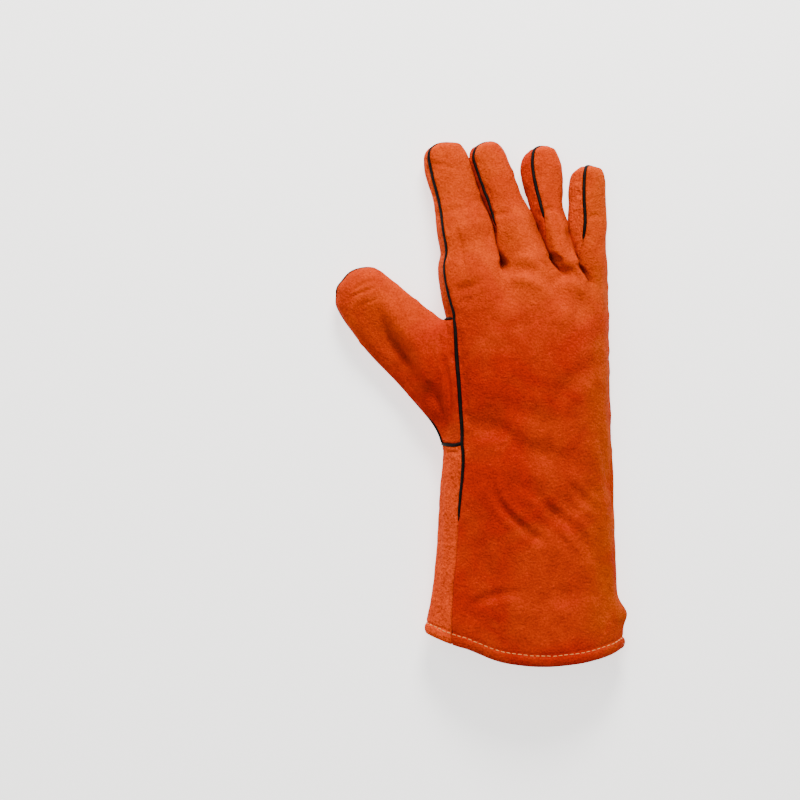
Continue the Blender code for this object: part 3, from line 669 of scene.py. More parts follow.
# The wrist is this much lumpier than the rest, round this place along the glove
WRIST_Y = -0.125
WRIST_REACH = 0.045
WRIST_LUMPS = 0.9
# Puckers beside the piping, and the flat strip along it that the seam pulls smooth
PUCKER_GRAIN = 0.0055
PUCKER_HEIGHT = 0.0009
PUCKER_REACH = 0.007
PUCKER_SEED = 53
SEAM_FLATTENS = 0.85
SEAM_FLAT_REACH = 0.0022
# The hem's roll, its groove at the stitches, its wave up and down and its rise by the plain seam
HEM_ROLL = 0.0085
HEM_SWELL = 0.0013
HEM_ROUND = 0.8
HEM_GROOVE = 0.0007
HEM_GROOVE_WIDTH = 0.0011
HEM_WAVE = 0.0009
HEM_WAVE_LENGTH = 0.055
HEM_LIFT_X = -0.047
HEM_LIFT_WIDTH = 0.017
HEM_LIFT = 0.0030
HEM_FADE_START = 0.010
HEM_FADE_LENGTH = 0.012

# The colours of the leathers, the cord, the thread and the paper, and how bright the paper glows
HIDE_ORANGE = "#C42600"
# HIDE_BRIGHT and HIDE_DEEP give the dye clouds and also the painted light over the fingers and the painted
# shade over the cuff
HIDE_BRIGHT = "#C94500"
HIDE_DEEP = "#AD1700"
HIDE_OCHRE = "#AB4B00"
HIDE_SHADE = "#7E1200"
FLESH_ORANGE = "#DA430E"
FRONT_RED = "#B61C00"
CORD_BLACK = "#0B0908"
CORD_WORN = "#1A1210"
THREAD_PALE = "#E88F3A"
FLOOR_PALE = "#F4F2F0"
PAPER_GLOW = 1.8

# How deep the piping lies in its seam, how it dives under the leather at a free end, how uneven
# it is, and where it is fuller: beside the thumb
PIPING_SINK = 0.00045
PIPING_DIVE = 0.0016
PIPING_DIVE_RUN = 0.009
PIPING_UNEVEN = 0.05
PIPING_GRAIN = 0.006
PIPING_SEED = 71
PIPING_SMOOTHING = 6
PIPING_FULL = np.array([-0.058, -0.022, 0.036])
PIPING_FULL_REACH = 0.042
PIPING_FULLER = 0.35
# The rings of the piping's rounded end: how far past the end and how wide, in radii
CAP_RINGS = [(0.9, 0.45), (0.45, 0.85)]
# A direction that no run of piping starts along, which its first ring is turned from
NOT_ALONG = [0.3, 0.2, 0.93]

# The rings of a stitch: where along it, as a share of its length, how wide and how high, in radii
STITCH_RINGS = [(-0.50, 0.25, -0.45), (-0.40, 0.75, -0.05), (-0.15, 1.0, 0.25), (0.15, 1.0, 0.25),
                (0.40, 0.75, -0.05), (0.50, 0.25, -0.45)]
STITCH_RADIUS = 0.00036
STITCH_SIDES = 6
STITCH_RISE = 0.2
STITCH_WANDER = 0.0002
STITCH_UNEVEN = 0.08
STITCH_HEADING = 0.0004
STITCH_SEED = 5
# Where the first stitch reads its wander from the noise, and the step to the next one's place
WANDER_START = np.array([0, 0.3, 0.7])
WANDER_STEP = np.array([0.9, 0, 0])
# The skin up to here is searched for the row of stitches, each point from its nearest ones
HEM_BAND_TOP = -0.17
HEM_NEAREST = 3
NO_DISTANCE = 1e-5

# What mixes the numbers of a cell's corner into the noise's value there
CORNER_PRIMES = [73856093, 19349663, 83492791]
SEED_PRIME = 2654435761
MIXING_PRIME = 1274126177
SEED_SHIFT = 7.31

# One row for each soft light: where it stands, its two sides, its power in watts and its colour
Light = namedtuple("Light", "name place size power colour")
LIGHTS = [
    Light("key", (0.08, 1.32, 0.95), (0.6, 0.5), 54, (1, 0.99, 0.97)),
    Light("fill", (-0.8, 0.3, 1.5), (1.2, 1.2), 9, (0.98, 0.99, 1)),
]
LIGHT_AIM = Vector((-0.03, -0.03, 0))
WORLD_STRENGTH = 0.40
# Half the paper's side and its level, and the camera: its height, the width of its sensor in
# millimetres, and the width, the level and the middle of what it sees
PAPER_HALF = 4
PAPER_LEVEL = -0.0002
CAMERA_HEIGHT = 2.2
SENSOR = 36
VIEW_WIDTH = 0.6152
VIEW_LEVEL = 0.02
VIEW_MIDDLE = (-0.098, -0.0352)

# What is made once and shared: the skin and the materials
_made = {}


def linear(hex_colour):
    """An sRGB hex colour as the linear values that Blender's shaders take."""
    parts = [int(hex_colour[i:i + 2], 16) / 255 for i in (1, 3, 5)]
    return tuple(p / 12.92 if p <= 0.04045 else ((p + 0.055) / 1.055) ** 2.4 for p in parts)


class GauntletSizes(bpy.types.PropertyGroup):
    """Sizes that a user would change."""

    leather: FloatProperty(
        name="Leather", description="Thickness of the split cowhide", default=LEATHER,
        min=0.001, max=0.003, unit="LENGTH")
    cord: FloatProperty(
        name="Piping", description="Diameter of the piping in the seams", default=WELT_DIAMETER,
        min=0.001, max=0.004, unit="LENGTH")
    wrinkles: FloatProperty(
        name="Wrinkles", description="How deep the creases and lumps are, as a share", default=1.0,
        min=0.0, max=2.0)
    stitch: FloatProperty(
        name="Stitch", description="Length of one stitch of the hem", default=0.0033,
        min=0.001, max=0.006, unit="LENGTH")
    stitch_gap: FloatProperty(
        name="Stitch gap", description="Space from one stitch of the hem to the next",
        default=0.0011, min=0.0003, max=0.004, unit="LENGTH")
    stitch_row: FloatProperty(
        name="Stitch row", description="How far the hem's stitches lie from its edge",
        default=0.0082, min=0.002, max=0.012, unit="LENGTH")
    cord_sides: IntProperty(
        name="Piping sides", description="Faces round the piping", default=14, min=6, max=24)


class GauntletColours(bpy.types.PropertyGroup):
    """Colours that a user would change."""

    hide: FloatVectorProperty(
        name="Hide", description="Dye of the back and thumb", subtype="COLOR",
        default=linear(HIDE_ORANGE), min=0, max=1)
    flesh: FloatVectorProperty(
        name="Flesh side", description="Dye of the palm and the finger fronts", subtype="COLOR",
        default=linear(FLESH_ORANGE), min=0, max=1)
    cord: FloatVectorProperty(
        name="Piping", description="Coated piping", subtype="COLOR",
        default=linear(CORD_BLACK), min=0, max=1)
    thread: FloatVectorProperty(
        name="Thread", description="Hem thread", subtype="COLOR",
        default=linear(THREAD_PALE), min=0, max=1)


def sizes():
    """The size settings of the scene."""
    return bpy.context.scene.gauntlet_sizes


def colours():
    """The colour settings of the scene."""
    return bpy.context.scene.gauntlet_colours


def lattice_noise(points, grain, seed):
    """Smooth noise between -1 and 1 with bumps about grain metres wide, the same on every run."""
    at = points / grain + seed * SEED_SHIFT
    cell = np.floor(at).astype(np.int64)
    within = at - cell
    ease = within * within * within * (within * (within * 6 - 15) + 10)
    total = np.zeros(len(points))
    for corner in range(8):
        offset = np.array([corner & 1, corner >> 1 & 1, corner >> 2 & 1])
        x, y, z = ((cell + offset) * CORNER_PRIMES).T
        mixed = x ^ y ^ z ^ seed * SEED_PRIME
        mixed = (mixed ^ mixed >> 13) * MIXING_PRIME
        value = ((mixed ^ mixed >> 16) & 0xFFFF) / 32767.5 - 1
        weight = np.where(offset == 1, ease, 1 - ease).prod(axis=1)
        total += value * weight
    return total


def subdivided(cage, points, levels):
    """The smooth skin of the cage at a number of levels: points, quads, panel numbers, edges."""
    mesh = bpy.data.meshes.new("glove_cage")
    mesh.from_pydata([tuple(point) for point in points], [], cage.faces)
    mesh.polygons.foreach_set("material_index", cage.panels)
    for _ in PANELS:
        mesh.materials.append(None)
    guide = bpy.data.objects.new("glove_cage", mesh)
    bpy.context.scene.collection.objects.link(guide)
    smooth = guide.modifiers.new("smooth", "SUBSURF")
    smooth.levels = levels
    fine = guide.evaluated_get(bpy.context.evaluated_depsgraph_get()).to_mesh()
    where = np.zeros(len(fine.vertices) * 3)
    fine.vertices.foreach_get("co", where)
    quads = np.zeros(len(fine.loops), np.int32)
    fine.loops.foreach_get("vertex_index", quads)
    panel = np.zeros(len(fine.polygons), np.int32)
    fine.polygons.foreach_get("material_index", panel)
    edges = {frozenset(edge.vertices): (edge.index, edge.vertices[0]) for edge in mesh.edges}
    bpy.data.objects.remove(guide)
    bpy.data.meshes.remove(mesh)
    return where.reshape(-1, 3), quads.reshape(-1, 4), panel, edges


def point_tree(points, chosen):
    """A search tree of the chosen points, which keeps their numbers."""
    tree = KDTree(len(chosen))
    for i in chosen:
        tree.insert(points[i], i)
    tree.balance()
    return tree


def outline_moves(points):
    """How far the pushes move each point across and along the glove."""
    moved = np.zeros((len(points), 2))
    for push in PUSHES:
        off = (points[:, :2] * 1000 - (push.x, push.y)) / (push.wide, push.long)
        moved += np.exp(-(off ** 2).sum(axis=1))[:, None] * np.array([push.across, push.along]) / 1000
    return moved


def close_slits(points):
    """Draw the walls of each gap between fingers together, where the fingers lie side by side."""
    for slit in SLITS:
        knots = np.array(slit[1:9]).reshape(-1, 2)[:, ::-1] / 1000
        middle = np.interp(points[:, 1], knots[:, 0], knots[:, 1])
        aside = points[:, 0] - middle
        inside = (points[:, 1] > knots[0, 0]) & (points[:, 1] < slit.open / 1000)
        rows = np.arange(knots[0, 0], slit.open / 1000, SLIT_STEP)
        for side in (-1, 1):
            walls = []
            for row in rows:
                here = (np.abs(points[:, 1] - row) < SLIT_STEP * SLIT_NEAR) & (aside * side > 0)
                walls.append(np.abs(aside[here]).min())
            walls = np.convolve(np.pad(walls, 1, mode="edge"), [0.25, 0.5, 0.25], mode="valid")
            wall = np.interp(points[:, 1], rows, walls)
            beyond = np.abs(aside) - wall
            share = np.clip((slit.open / 1000 - points[:, 1]) / (slit.open - slit.closed) * 1000, 0, 1)
            share = share * share * (3 - 2 * share)
            pull = np.clip(1 - beyond / SLIT_REACH, 0, 1) ** 2 * np.maximum(wall - SLIT_GAP, 0)
            pull = np.minimum(pull * share, np.abs(aside) - SLIT_GAP)
            points[:, 0] -= side * np.where(inside & (aside * side > 0), pull, 0)


def crease_depth(points):
    """How far the creases press the skin in at each point."""
    depth = np.zeros(len(points))
    for crease in CREASES:
        start = np.array([crease.x1, crease.y1]) / 1000
        line = np.array([crease.x2, crease.y2]) / 1000 - start
        length = np.linalg.norm(line)
        along = (points[:, :2] - start) @ line / length ** 2
        left = np.array([-line[1], line[0]]) / length
        aside = (points[:, :2] - start) @ left - crease.bow / 1000 * 4 * along * (1 - along)
        aside /= crease.width / 1000
        near = (along > 0) & (along < 1)
        fade = np.where(near, np.sin(np.pi * np.clip(along, 0, 1)) ** CREASE_RUNOUT, 0)
        lips = crease.lip * np.exp(-(np.abs(aside) - LIP_PLACE) ** 2 * LIP_NARROW) * LIP_HEIGHT
        depth += fade * (np.exp(-aside ** 2) - lips) * crease.depth / 1000
    return depth


def fold_depths(points):
    """How far the main folds, which the solids share, press the skin in at each point."""
    depth = np.zeros(len(points))
    for fold in FOLDS:
        turn = math.radians(fold.heading)
        away = points[:, :2] - np.array([fold.x, fold.y]) * PALM_WIDTH
        along = (away[:, 0] * math.cos(turn) + away[:, 1] * math.sin(turn)) / (fold.length * PALM_WIDTH)
        aside = (away[:, 1] * math.cos(turn) - away[:, 0] * math.sin(turn)) / (fold.width * PALM_WIDTH)
        shape = (1 - along ** 2) ** 2 * np.exp(-aside ** 2) * fold.depth * PALM_HEIGHT
        depth += np.where((np.abs(along) < 1) & (np.abs(aside) < 3), shape, 0)
    return depth


class Skin:
    """The outer skin of the whole glove at the fine level, with its folds and lumps."""

    def __init__(self):
        cage, paths = build_cage()
        placed = fit_cage(cage)
        self.points, self.faces, self.panel, edges = subdivided(cage, placed, FINE)
        coarse, self.inner_faces, self.inner_panel, _ = subdivided(cage, placed, INSIDE)
        tree = point_tree(self.points, range(len(self.points)))
        self.inner_points = np.array([tree.find(point)[1] for point in coarse])
        self.count = len(cage.points)
        self.paths = {}
        for name, path in paths.items():
            fine = self.trace(edges, path)
            self.paths[name] = fine[RUNS[name].plain_start:len(fine) - RUNS[name].plain_end]
        self.welted = {frozenset(step) for path in self.paths.values() for step in zip(path, path[1:])}
        border = edge_uses(self.faces)
        self.hem = {frozenset(edge[:2]) for edge in border}
        self.hem_points = sorted({point for edge in self.hem for point in edge})
        self.shape()

    def trace(self, edges, path):
        """The fine points along a run of cage points: the cage's own come first in the numbering
        and then the new ones along each edge."""
        between = 2 ** FINE - 1
        found = [path[0]]
        for a, b in zip(path, path[1:]):
            number, first_end = edges[frozenset((a, b))]
            first = self.count + number * between
            new = list(range(first, first + between))
            found += new if first_end == a else new[::-1]
            found.append(b)
        return found

    def shape(self):
        """Press folds, creases, lumps and puckers into the skin, swell the hem's roll, draw the
        fingers together and rest it all on the floor."""
        rest = self.points
        normals = vertex_normals(rest, self.faces)
        strength = sizes().wrinkles
        up = np.clip(normals[:, 2] * UP_SLOPE + UP_LEVEL, 0, 1)
        points = rest - normals * (fold_depths(rest) * up)[:, None]
        press = self.wrinkles(rest, crease_depth(rest) * up)
        height = self.distance(self.hem_points)
        press -= HEM_SWELL * np.sin(np.pi * np.clip(height / HEM_ROLL, 0, 1)) ** HEM_ROUND
        press += HEM_GROOVE * np.exp(-((height - HEM_ROLL) / HEM_GROOVE_WIDTH) ** 2)
        points -= normals * (press * strength)[:, None]
        fade = np.exp(-np.maximum(height - HEM_FADE_START, 0) ** 2 / HEM_FADE_LENGTH ** 2)
        wave = np.sin(points[:, 0] / HEM_WAVE_LENGTH * 2 * math.pi)
        points[:, 2] += fade * wave * HEM_WAVE * strength * np.clip(normals[:, 2], 0, 1)
        points[:, 1] += fade * HEM_LIFT * np.exp(-((points[:, 0] - HEM_LIFT_X) / HEM_LIFT_WIDTH) ** 2)
        points[:, :2] += outline_moves(points)
        close_slits(points)
        points[:, 2] = np.maximum(points[:, 2], 0)
        self.points = points
        self.normals = vertex_normals(points, self.faces)

    def wrinkles(self, rest, creases):
        """How far creases, lumps and the puckers beside the piping press in at each point. The seam
        pulls the strip along the piping smooth."""
        press = creases.copy()
        wrist = 1 + WRIST_LUMPS * np.exp(-((rest[:, 1] - WRIST_Y) / WRIST_REACH) ** 2)
        for lump in LUMPS:
            stretched = rest / np.array([1, lump.stretch, 1])
            press += lattice_noise(stretched, lump.grain / 1000, lump.seed) * (lump.height / 2000 * wrist)
        near = self.distance(sorted({point for edge in self.welted for point in edge}))
        pucker = lattice_noise(rest, PUCKER_GRAIN, PUCKER_SEED) * PUCKER_HEIGHT
        press += pucker * np.exp(-(near / PUCKER_REACH) ** 2)
        return press * (1 - SEAM_FLATTENS * np.exp(-(near / SEAM_FLAT_REACH) ** 2))

    def distance(self, seam_points):
        """How far each point lies from the nearest seam point through the air."""
        tree = point_tree(self.points, seam_points)
        return np.array([tree.find(point)[2] for point in self.points])


def glove_skin():
    """The skin, made once and shared by all the panels."""
    if "skin" not in _made:
        _made["skin"] = Skin()
    return _made["skin"]


def edge_classes(skin, border, faces):
    """For each border point of a panel, the inward direction and the kind of its two edges."""
    sides = {}
    for a, b, number in border:
        edge = frozenset((a, b))
        kind = HEM_EDGE if edge in skin.hem else PIPED_EDGE if edge in skin.welted else PLAIN_EDGE
        corners = skin.points[faces[number]]
        normal = np.cross(corners[2] - corners[0], corners[3] - corners[1])
        inward = np.cross(normal, skin.points[b] - skin.points[a])
        inward /= np.linalg.norm(inward)
        for point in (a, b):
            sides.setdefault(point, []).append((inward, kind))
    return sides


def edge_moves(sides):
    """How far a border point moves in the skin and below it, for each ring of the turned edge."""
    (first, kind_a), (second, kind_b) = sides[:2]
    moves = []
    for (out_a, down_a), (out_b, down_b) in zip(kind_a, kind_b):
        if first @ second > RUNS_ON:
            middle = first + second
            shift = middle / np.linalg.norm(middle) * (out_a + out_b) / 2
        else:
            grid = np.array([[1, first @ second], [first @ second, 1]])
            parts = np.linalg.lstsq(grid, np.array([out_a, out_b]), rcond=NEARLY_PARALLEL)[0]
            shift = first * parts[0] + second * parts[1]
            most = MITER * max(abs(out_a), abs(out_b), NO_MOVE)
            shift *= min(1, most / max(np.linalg.norm(shift), NO_MOVE))
        moves.append((shift / 1000, (down_a + down_b) / 2000))
    return moves


def reach_in(points, faces, sources):
    """The distance along the panel from its border and the nearest border point, near the border."""
    links = {}
    for face in faces:
        for k in range(4):
            a, b = int(face[k]), int(face[(k + 1) % 4])
            links.setdefault(a, set()).add(b)
            links.setdefault(b, set()).add(a)
    best = {point: (0.0, point) for point in sources}
    queue = [(0.0, point, point) for point in sources]
    heapq.heapify(queue)
    while queue:
        so_far, point, source = heapq.heappop(queue)
        if best[point][0] < so_far:
            continue
        for near in links[point]:
            step = so_far + float(np.linalg.norm(points[near] - points[point]))
            if step < EDGE_REACH and (near not in best or step < best[near][0]):
                best[near] = (step, source)
                heapq.heappush(queue, (step, near, source))
    return best


def new_piece(name, points, faces, material):
    """A smooth object of one material from points and faces."""
    mesh = bpy.data.meshes.new(name)
    mesh.from_pydata([tuple(point) for point in points], [], faces)
    mesh.materials.append(material)
    mesh.shade_smooth()
    piece = bpy.data.objects.new(name, mesh)
    bpy.context.scene.collection.objects.link(piece)
    return piece


def add_inside(skin, index, border, rim, points, quads):
    """Add the inside of a panel, one wall below its skin and two at the hem, joined to its rim."""
    hem = skin.points[skin.hem_points]
    hem = hem[np.argsort(hem[:, 0])]
    inner_faces = skin.inner_points[skin.inner_faces[skin.inner_panel == index]]
    inner = dict(rim)
    for old in sorted({int(i) for i in inner_faces.ravel()} - set(inner)):
        point = skin.points[old]
        above = point[1] - np.interp(point[0], hem[:, 0], hem[:, 1])
        depth = sizes().leather * (2 if above < HEM_WIDTH else 1)
        inner[old] = len(points)
        points.append(point - skin.normals[old] * depth)
    follow = {a: b for a, b, _ in border}
    for face in inner_faces:
        ring = []
        for k in range(4):
            a, b = int(face[k]), int(face[(k + 1) % 4])
            ring.append(inner[a])
            if a in follow and follow[a] != b and follow.get(follow[a]) == b:
                ring.append(inner[follow[a]])
        quads.append(tuple(reversed(ring)))


def leather_panel(panel, material):
    """One panel of the glove: the fine skin, turned in at its seams and closed by its inside."""
    skin = glove_skin()
    index = PANELS.index(panel)
    faces = skin.faces[skin.panel == index]
    border = edge_uses(faces)
    sides = edge_classes(skin, border, faces)
    moves = {point: edge_moves(found) for point, found in sides.items()}
    near = reach_in(skin.points, faces, sorted(moves))
    points, place = [], {}
    for old in sorted({int(i) for i in faces.ravel()}):
        point = skin.points[old]
        if old in near:
            gone, source = near[old]
            shift, down = moves[source][0]
            left = 1 - gone / EDGE_REACH
            point = point + shift * left ** 2 - skin.normals[old] * down * left
        place[old] = len(points)
        points.append(point)
    quads = [tuple(place[int(i)] for i in face) for face in faces]
    rings = [place]
    for ring in range(1, len(PIPED_EDGE)):
        lip = {}
        for old, found in moves.items():
            shift, down = found[ring]
            lip[old] = len(points)
            points.append(skin.points[old] + shift - skin.normals[old] * down)
        for a, b, _ in border:
            quads.append((rings[-1][b], rings[-1][a], lip[a], lip[b]))
        rings.append(lip)
    add_inside(skin, index, border, rings[-1], points, quads)
    piece = new_piece(panel + "_leather", points, quads, material)
    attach(piece, "root")
    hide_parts(panel)
    return piece


def smoothed(line, rounds):
    """A run of points with its small kinks taken out, its ends kept."""
    line = line.copy()
    for _ in range(rounds):
        line[1:-1] = (line[:-2] + 2 * line[1:-1] + line[2:]) / 4
    return line


def shortened(line, start, end):
    """A run of points cut by a length at each end."""
    for cut in (start, end):
        while cut > 0:
            step = np.linalg.norm(line[1] - line[0])
            if step > cut:
                line = np.vstack([line[0] + (line[1] - line[0]) * cut / step, line[1:]])
                break
            line = line[1:]
            cut -= step
        line = line[::-1]
    return line


def distances_along(line):
    """How far along a run of points each of them lies."""
    return np.concatenate([[0], np.cumsum(np.linalg.norm(np.diff(line, axis=0), axis=1))])


def ring_round(centre, side, other, radius, sides):
    """A ring of points round a centre, in the plane of two directions."""
    turns = [2 * math.pi * k / sides for k in range(sides)]
    return [centre + (side * math.cos(turn) + other * math.sin(turn)) * radius for turn in turns]


def tube_faces(first, rings, sides):
    """The faces of a tube with shut ends, whose rings follow each other from the point first."""
    last = first + (rings - 1) * sides
    faces = []
    for start in range(first, last, sides):
        for k in range(sides):
            a, b = start + k, start + (k + 1) % sides
            faces.append((a, b, b + sides, a + sides))
    faces.append(tuple(reversed(range(first, first + sides))))
    faces.append(tuple(range(last, last + sides)))
    return faces


def cord_rings(line, radius, sides, fuller):
    """The points of a round cord along a run of points, with rounded ends, and how many rings."""
    ahead = np.gradient(line, axis=0)
    ahead /= np.linalg.norm(ahead, axis=1)[:, None]
    widths = radius * (1 + fuller + PIPING_UNEVEN * lattice_noise(line, PIPING_GRAIN, PIPING_SEED))
    end = len(line) - 1
    rings = [(line[0] - ahead[0] * radius * out, radius * wide, 0) for out, wide in CAP_RINGS]
    rings += [(line[i], widths[i], i) for i in range(len(line))]
    rings += [(line[end] + ahead[end] * radius * out, radius * wide, end)
              for out, wide in reversed(CAP_RINGS)]
    side = np.cross(ahead[0], NOT_ALONG)
    points = []
    for centre, width, i in rings:
        side = side - ahead[i] * (side @ ahead[i])
        side /= np.linalg.norm(side)
        points += ring_round(centre, side, np.cross(ahead[i], side), width, sides)
    return points, len(rings)


def piping(node, material):
    """One run of piping in its seam."""
    skin = glove_skin()
    path = skin.paths[node]
    radius = sizes().cord / 2
    start, end = RUNS[node].cut_start, RUNS[node].cut_end
    along = distances_along(skin.points[path])
    sink = np.full(len(path), PIPING_SINK)
    if not start:
        sink += PIPING_DIVE * np.clip(1 - along / PIPING_DIVE_RUN, 0, 1) ** 2
    if not end:
        sink += PIPING_DIVE * np.clip(1 - (along[-1] - along) / PIPING_DIVE_RUN, 0, 1) ** 2
    line = smoothed(skin.points[path] - skin.normals[path] * sink[:, None], PIPING_SMOOTHING)
    line[:, 2] = np.maximum(line[:, 2], radius)
    meet = sizes().cord + SEAM_GAP
    line = shortened(line, start * meet, end * meet)
    fuller = PIPING_FULLER * np.exp(-((line - PIPING_FULL) ** 2).sum(axis=1) / PIPING_FULL_REACH ** 2)
    points, rings = cord_rings(line, radius, sizes().cord_sides, fuller)
    faces = tube_faces(0, rings, sizes().cord_sides)
    piece = new_piece(node.replace("welt", "piping"), points, faces, material)
    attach(piece, "root")
    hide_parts(node)
    return piece


def hem_line(skin, row):
    """The closed run round the cuff at a height above the hem, as skin points and normals."""
    follow = {a: b for a, b, _ in edge_uses(skin.faces)}
    start = next(iter(follow))
    loop, at = [start], follow[start]
    while at != start:
        loop.append(at)
        at = follow[at]
    band = [i for i, point in enumerate(skin.points) if point[1] < HEM_BAND_TOP]
    tree = point_tree(skin.points, band)
    line, normals = [], []
    for i in loop:
        wanted = skin.points[i] + np.array([0, row, 0])
        close = tree.find_n(wanted, HEM_NEAREST)
        weights = np.array([1 / (d + NO_DISTANCE) for _, _, d in close])
        weights /= weights.sum()
        line.append(sum(w * skin.points[j] for w, (_, j, _) in zip(weights, close)))
        normals.append(sum(w * skin.normals[j] for w, (_, j, _) in zip(weights, close)))
    return np.array(line), np.array(normals)


def at_length(length, along, values):
    """The value of each column at a length along a run of points."""
    return np.array([np.interp(length, along, column) for column in values.T])


def hem_stitches(material):
    """The thread that holds the turned hem: one short stitch after another round the cuff."""
    line, normals = hem_line(glove_skin(), sizes().stitch_row)
    line = np.vstack([line, line[:1]])
    normals = np.vstack([normals, normals[:1]])
    along = distances_along(line)
    total = int(along[-1] / (sizes().stitch + sizes().stitch_gap))
    points, faces = [], []
    for number in range(total):
        wander = lattice_noise((WANDER_START + number * WANDER_STEP)[None], 1.0, STITCH_SEED)[0]
        middle = (number + 0.5 + wander * STITCH_UNEVEN) * along[-1] / total
        faces += tube_faces(len(points), len(STITCH_RINGS), STITCH_SIDES)
        for place, wide, lift in STITCH_RINGS:
            at = middle + place * sizes().stitch
            centre = at_length(at, along, line)
            normal = at_length(at, along, normals)
            normal /= np.linalg.norm(normal)
            ahead = at_length(at + STITCH_HEADING, along, line) - centre
            ahead /= max(np.linalg.norm(ahead), NO_LENGTH)
            side = np.cross(ahead, normal)
            side /= np.linalg.norm(side)
            centre += normal * STITCH_RADIUS * (STITCH_RISE + lift) + side * wander * STITCH_WANDER
            points += ring_round(centre, side, normal, STITCH_RADIUS * wide, STITCH_SIDES)
    points = np.array(points)
    points[:, 2] = np.maximum(points[:, 2], 0)
    piece = new_piece("hem_stitches", points, faces, material)
    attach(piece, "root")
    return piece


def node(tree, kind, links=None, **settings):
    """Add a node with its settings. Settings named in_X set the input X, and links joins inputs."""
    made = tree.nodes.new(kind)
    for name, value in settings.items():
        if not name.startswith("in_"):
            setattr(made, name, value)
    for name, value in settings.items():
        if name.startswith("in_"):
            key = name[3:]
            made.inputs[int(key) if key.isdigit() else key.replace("_", " ")].default_value = value
    for name, source in (links or {}).items():
        tree.links.new(source, made.inputs[name])
    return made


def new_material(name):
    """An empty material with its shader and output."""
    material = bpy.data.materials.new(name)
    material.use_nodes = True
    tree = material.node_tree
    return material, tree, tree.nodes["Principled BSDF"]


def band_mask(tree, place, axis, low, high):
    """A smooth step along X, Y or Z of the glove, between two positions in metres."""
    split = node(tree, "ShaderNodeSeparateXYZ", {"Vector": place})
    return node(tree, "ShaderNodeMapRange", {"Value": split.outputs[axis]},
                interpolation_type="SMOOTHSTEP", in_1=low, in_2=high, in_3=0.0, in_4=1.0).outputs["Result"]


def mix_colour(tree, factor, first, second, blend="MIX"):
    """Mix two colours, each a socket or a linear colour, by a factor socket or value."""
    mix = tree.nodes.new("ShaderNodeMix")
    mix.data_type = "RGBA"
    mix.blend_type = blend
    mix.clamp_factor = True
    for key, value in ((0, factor), (6, first), (7, second)):
        if isinstance(value, bpy.types.NodeSocket):
            tree.links.new(value, mix.inputs[key])
        elif key:
            mix.inputs[key].default_value = (*value[:3], 1)
        else:
            mix.inputs[key].default_value = value
    return mix.outputs[2]


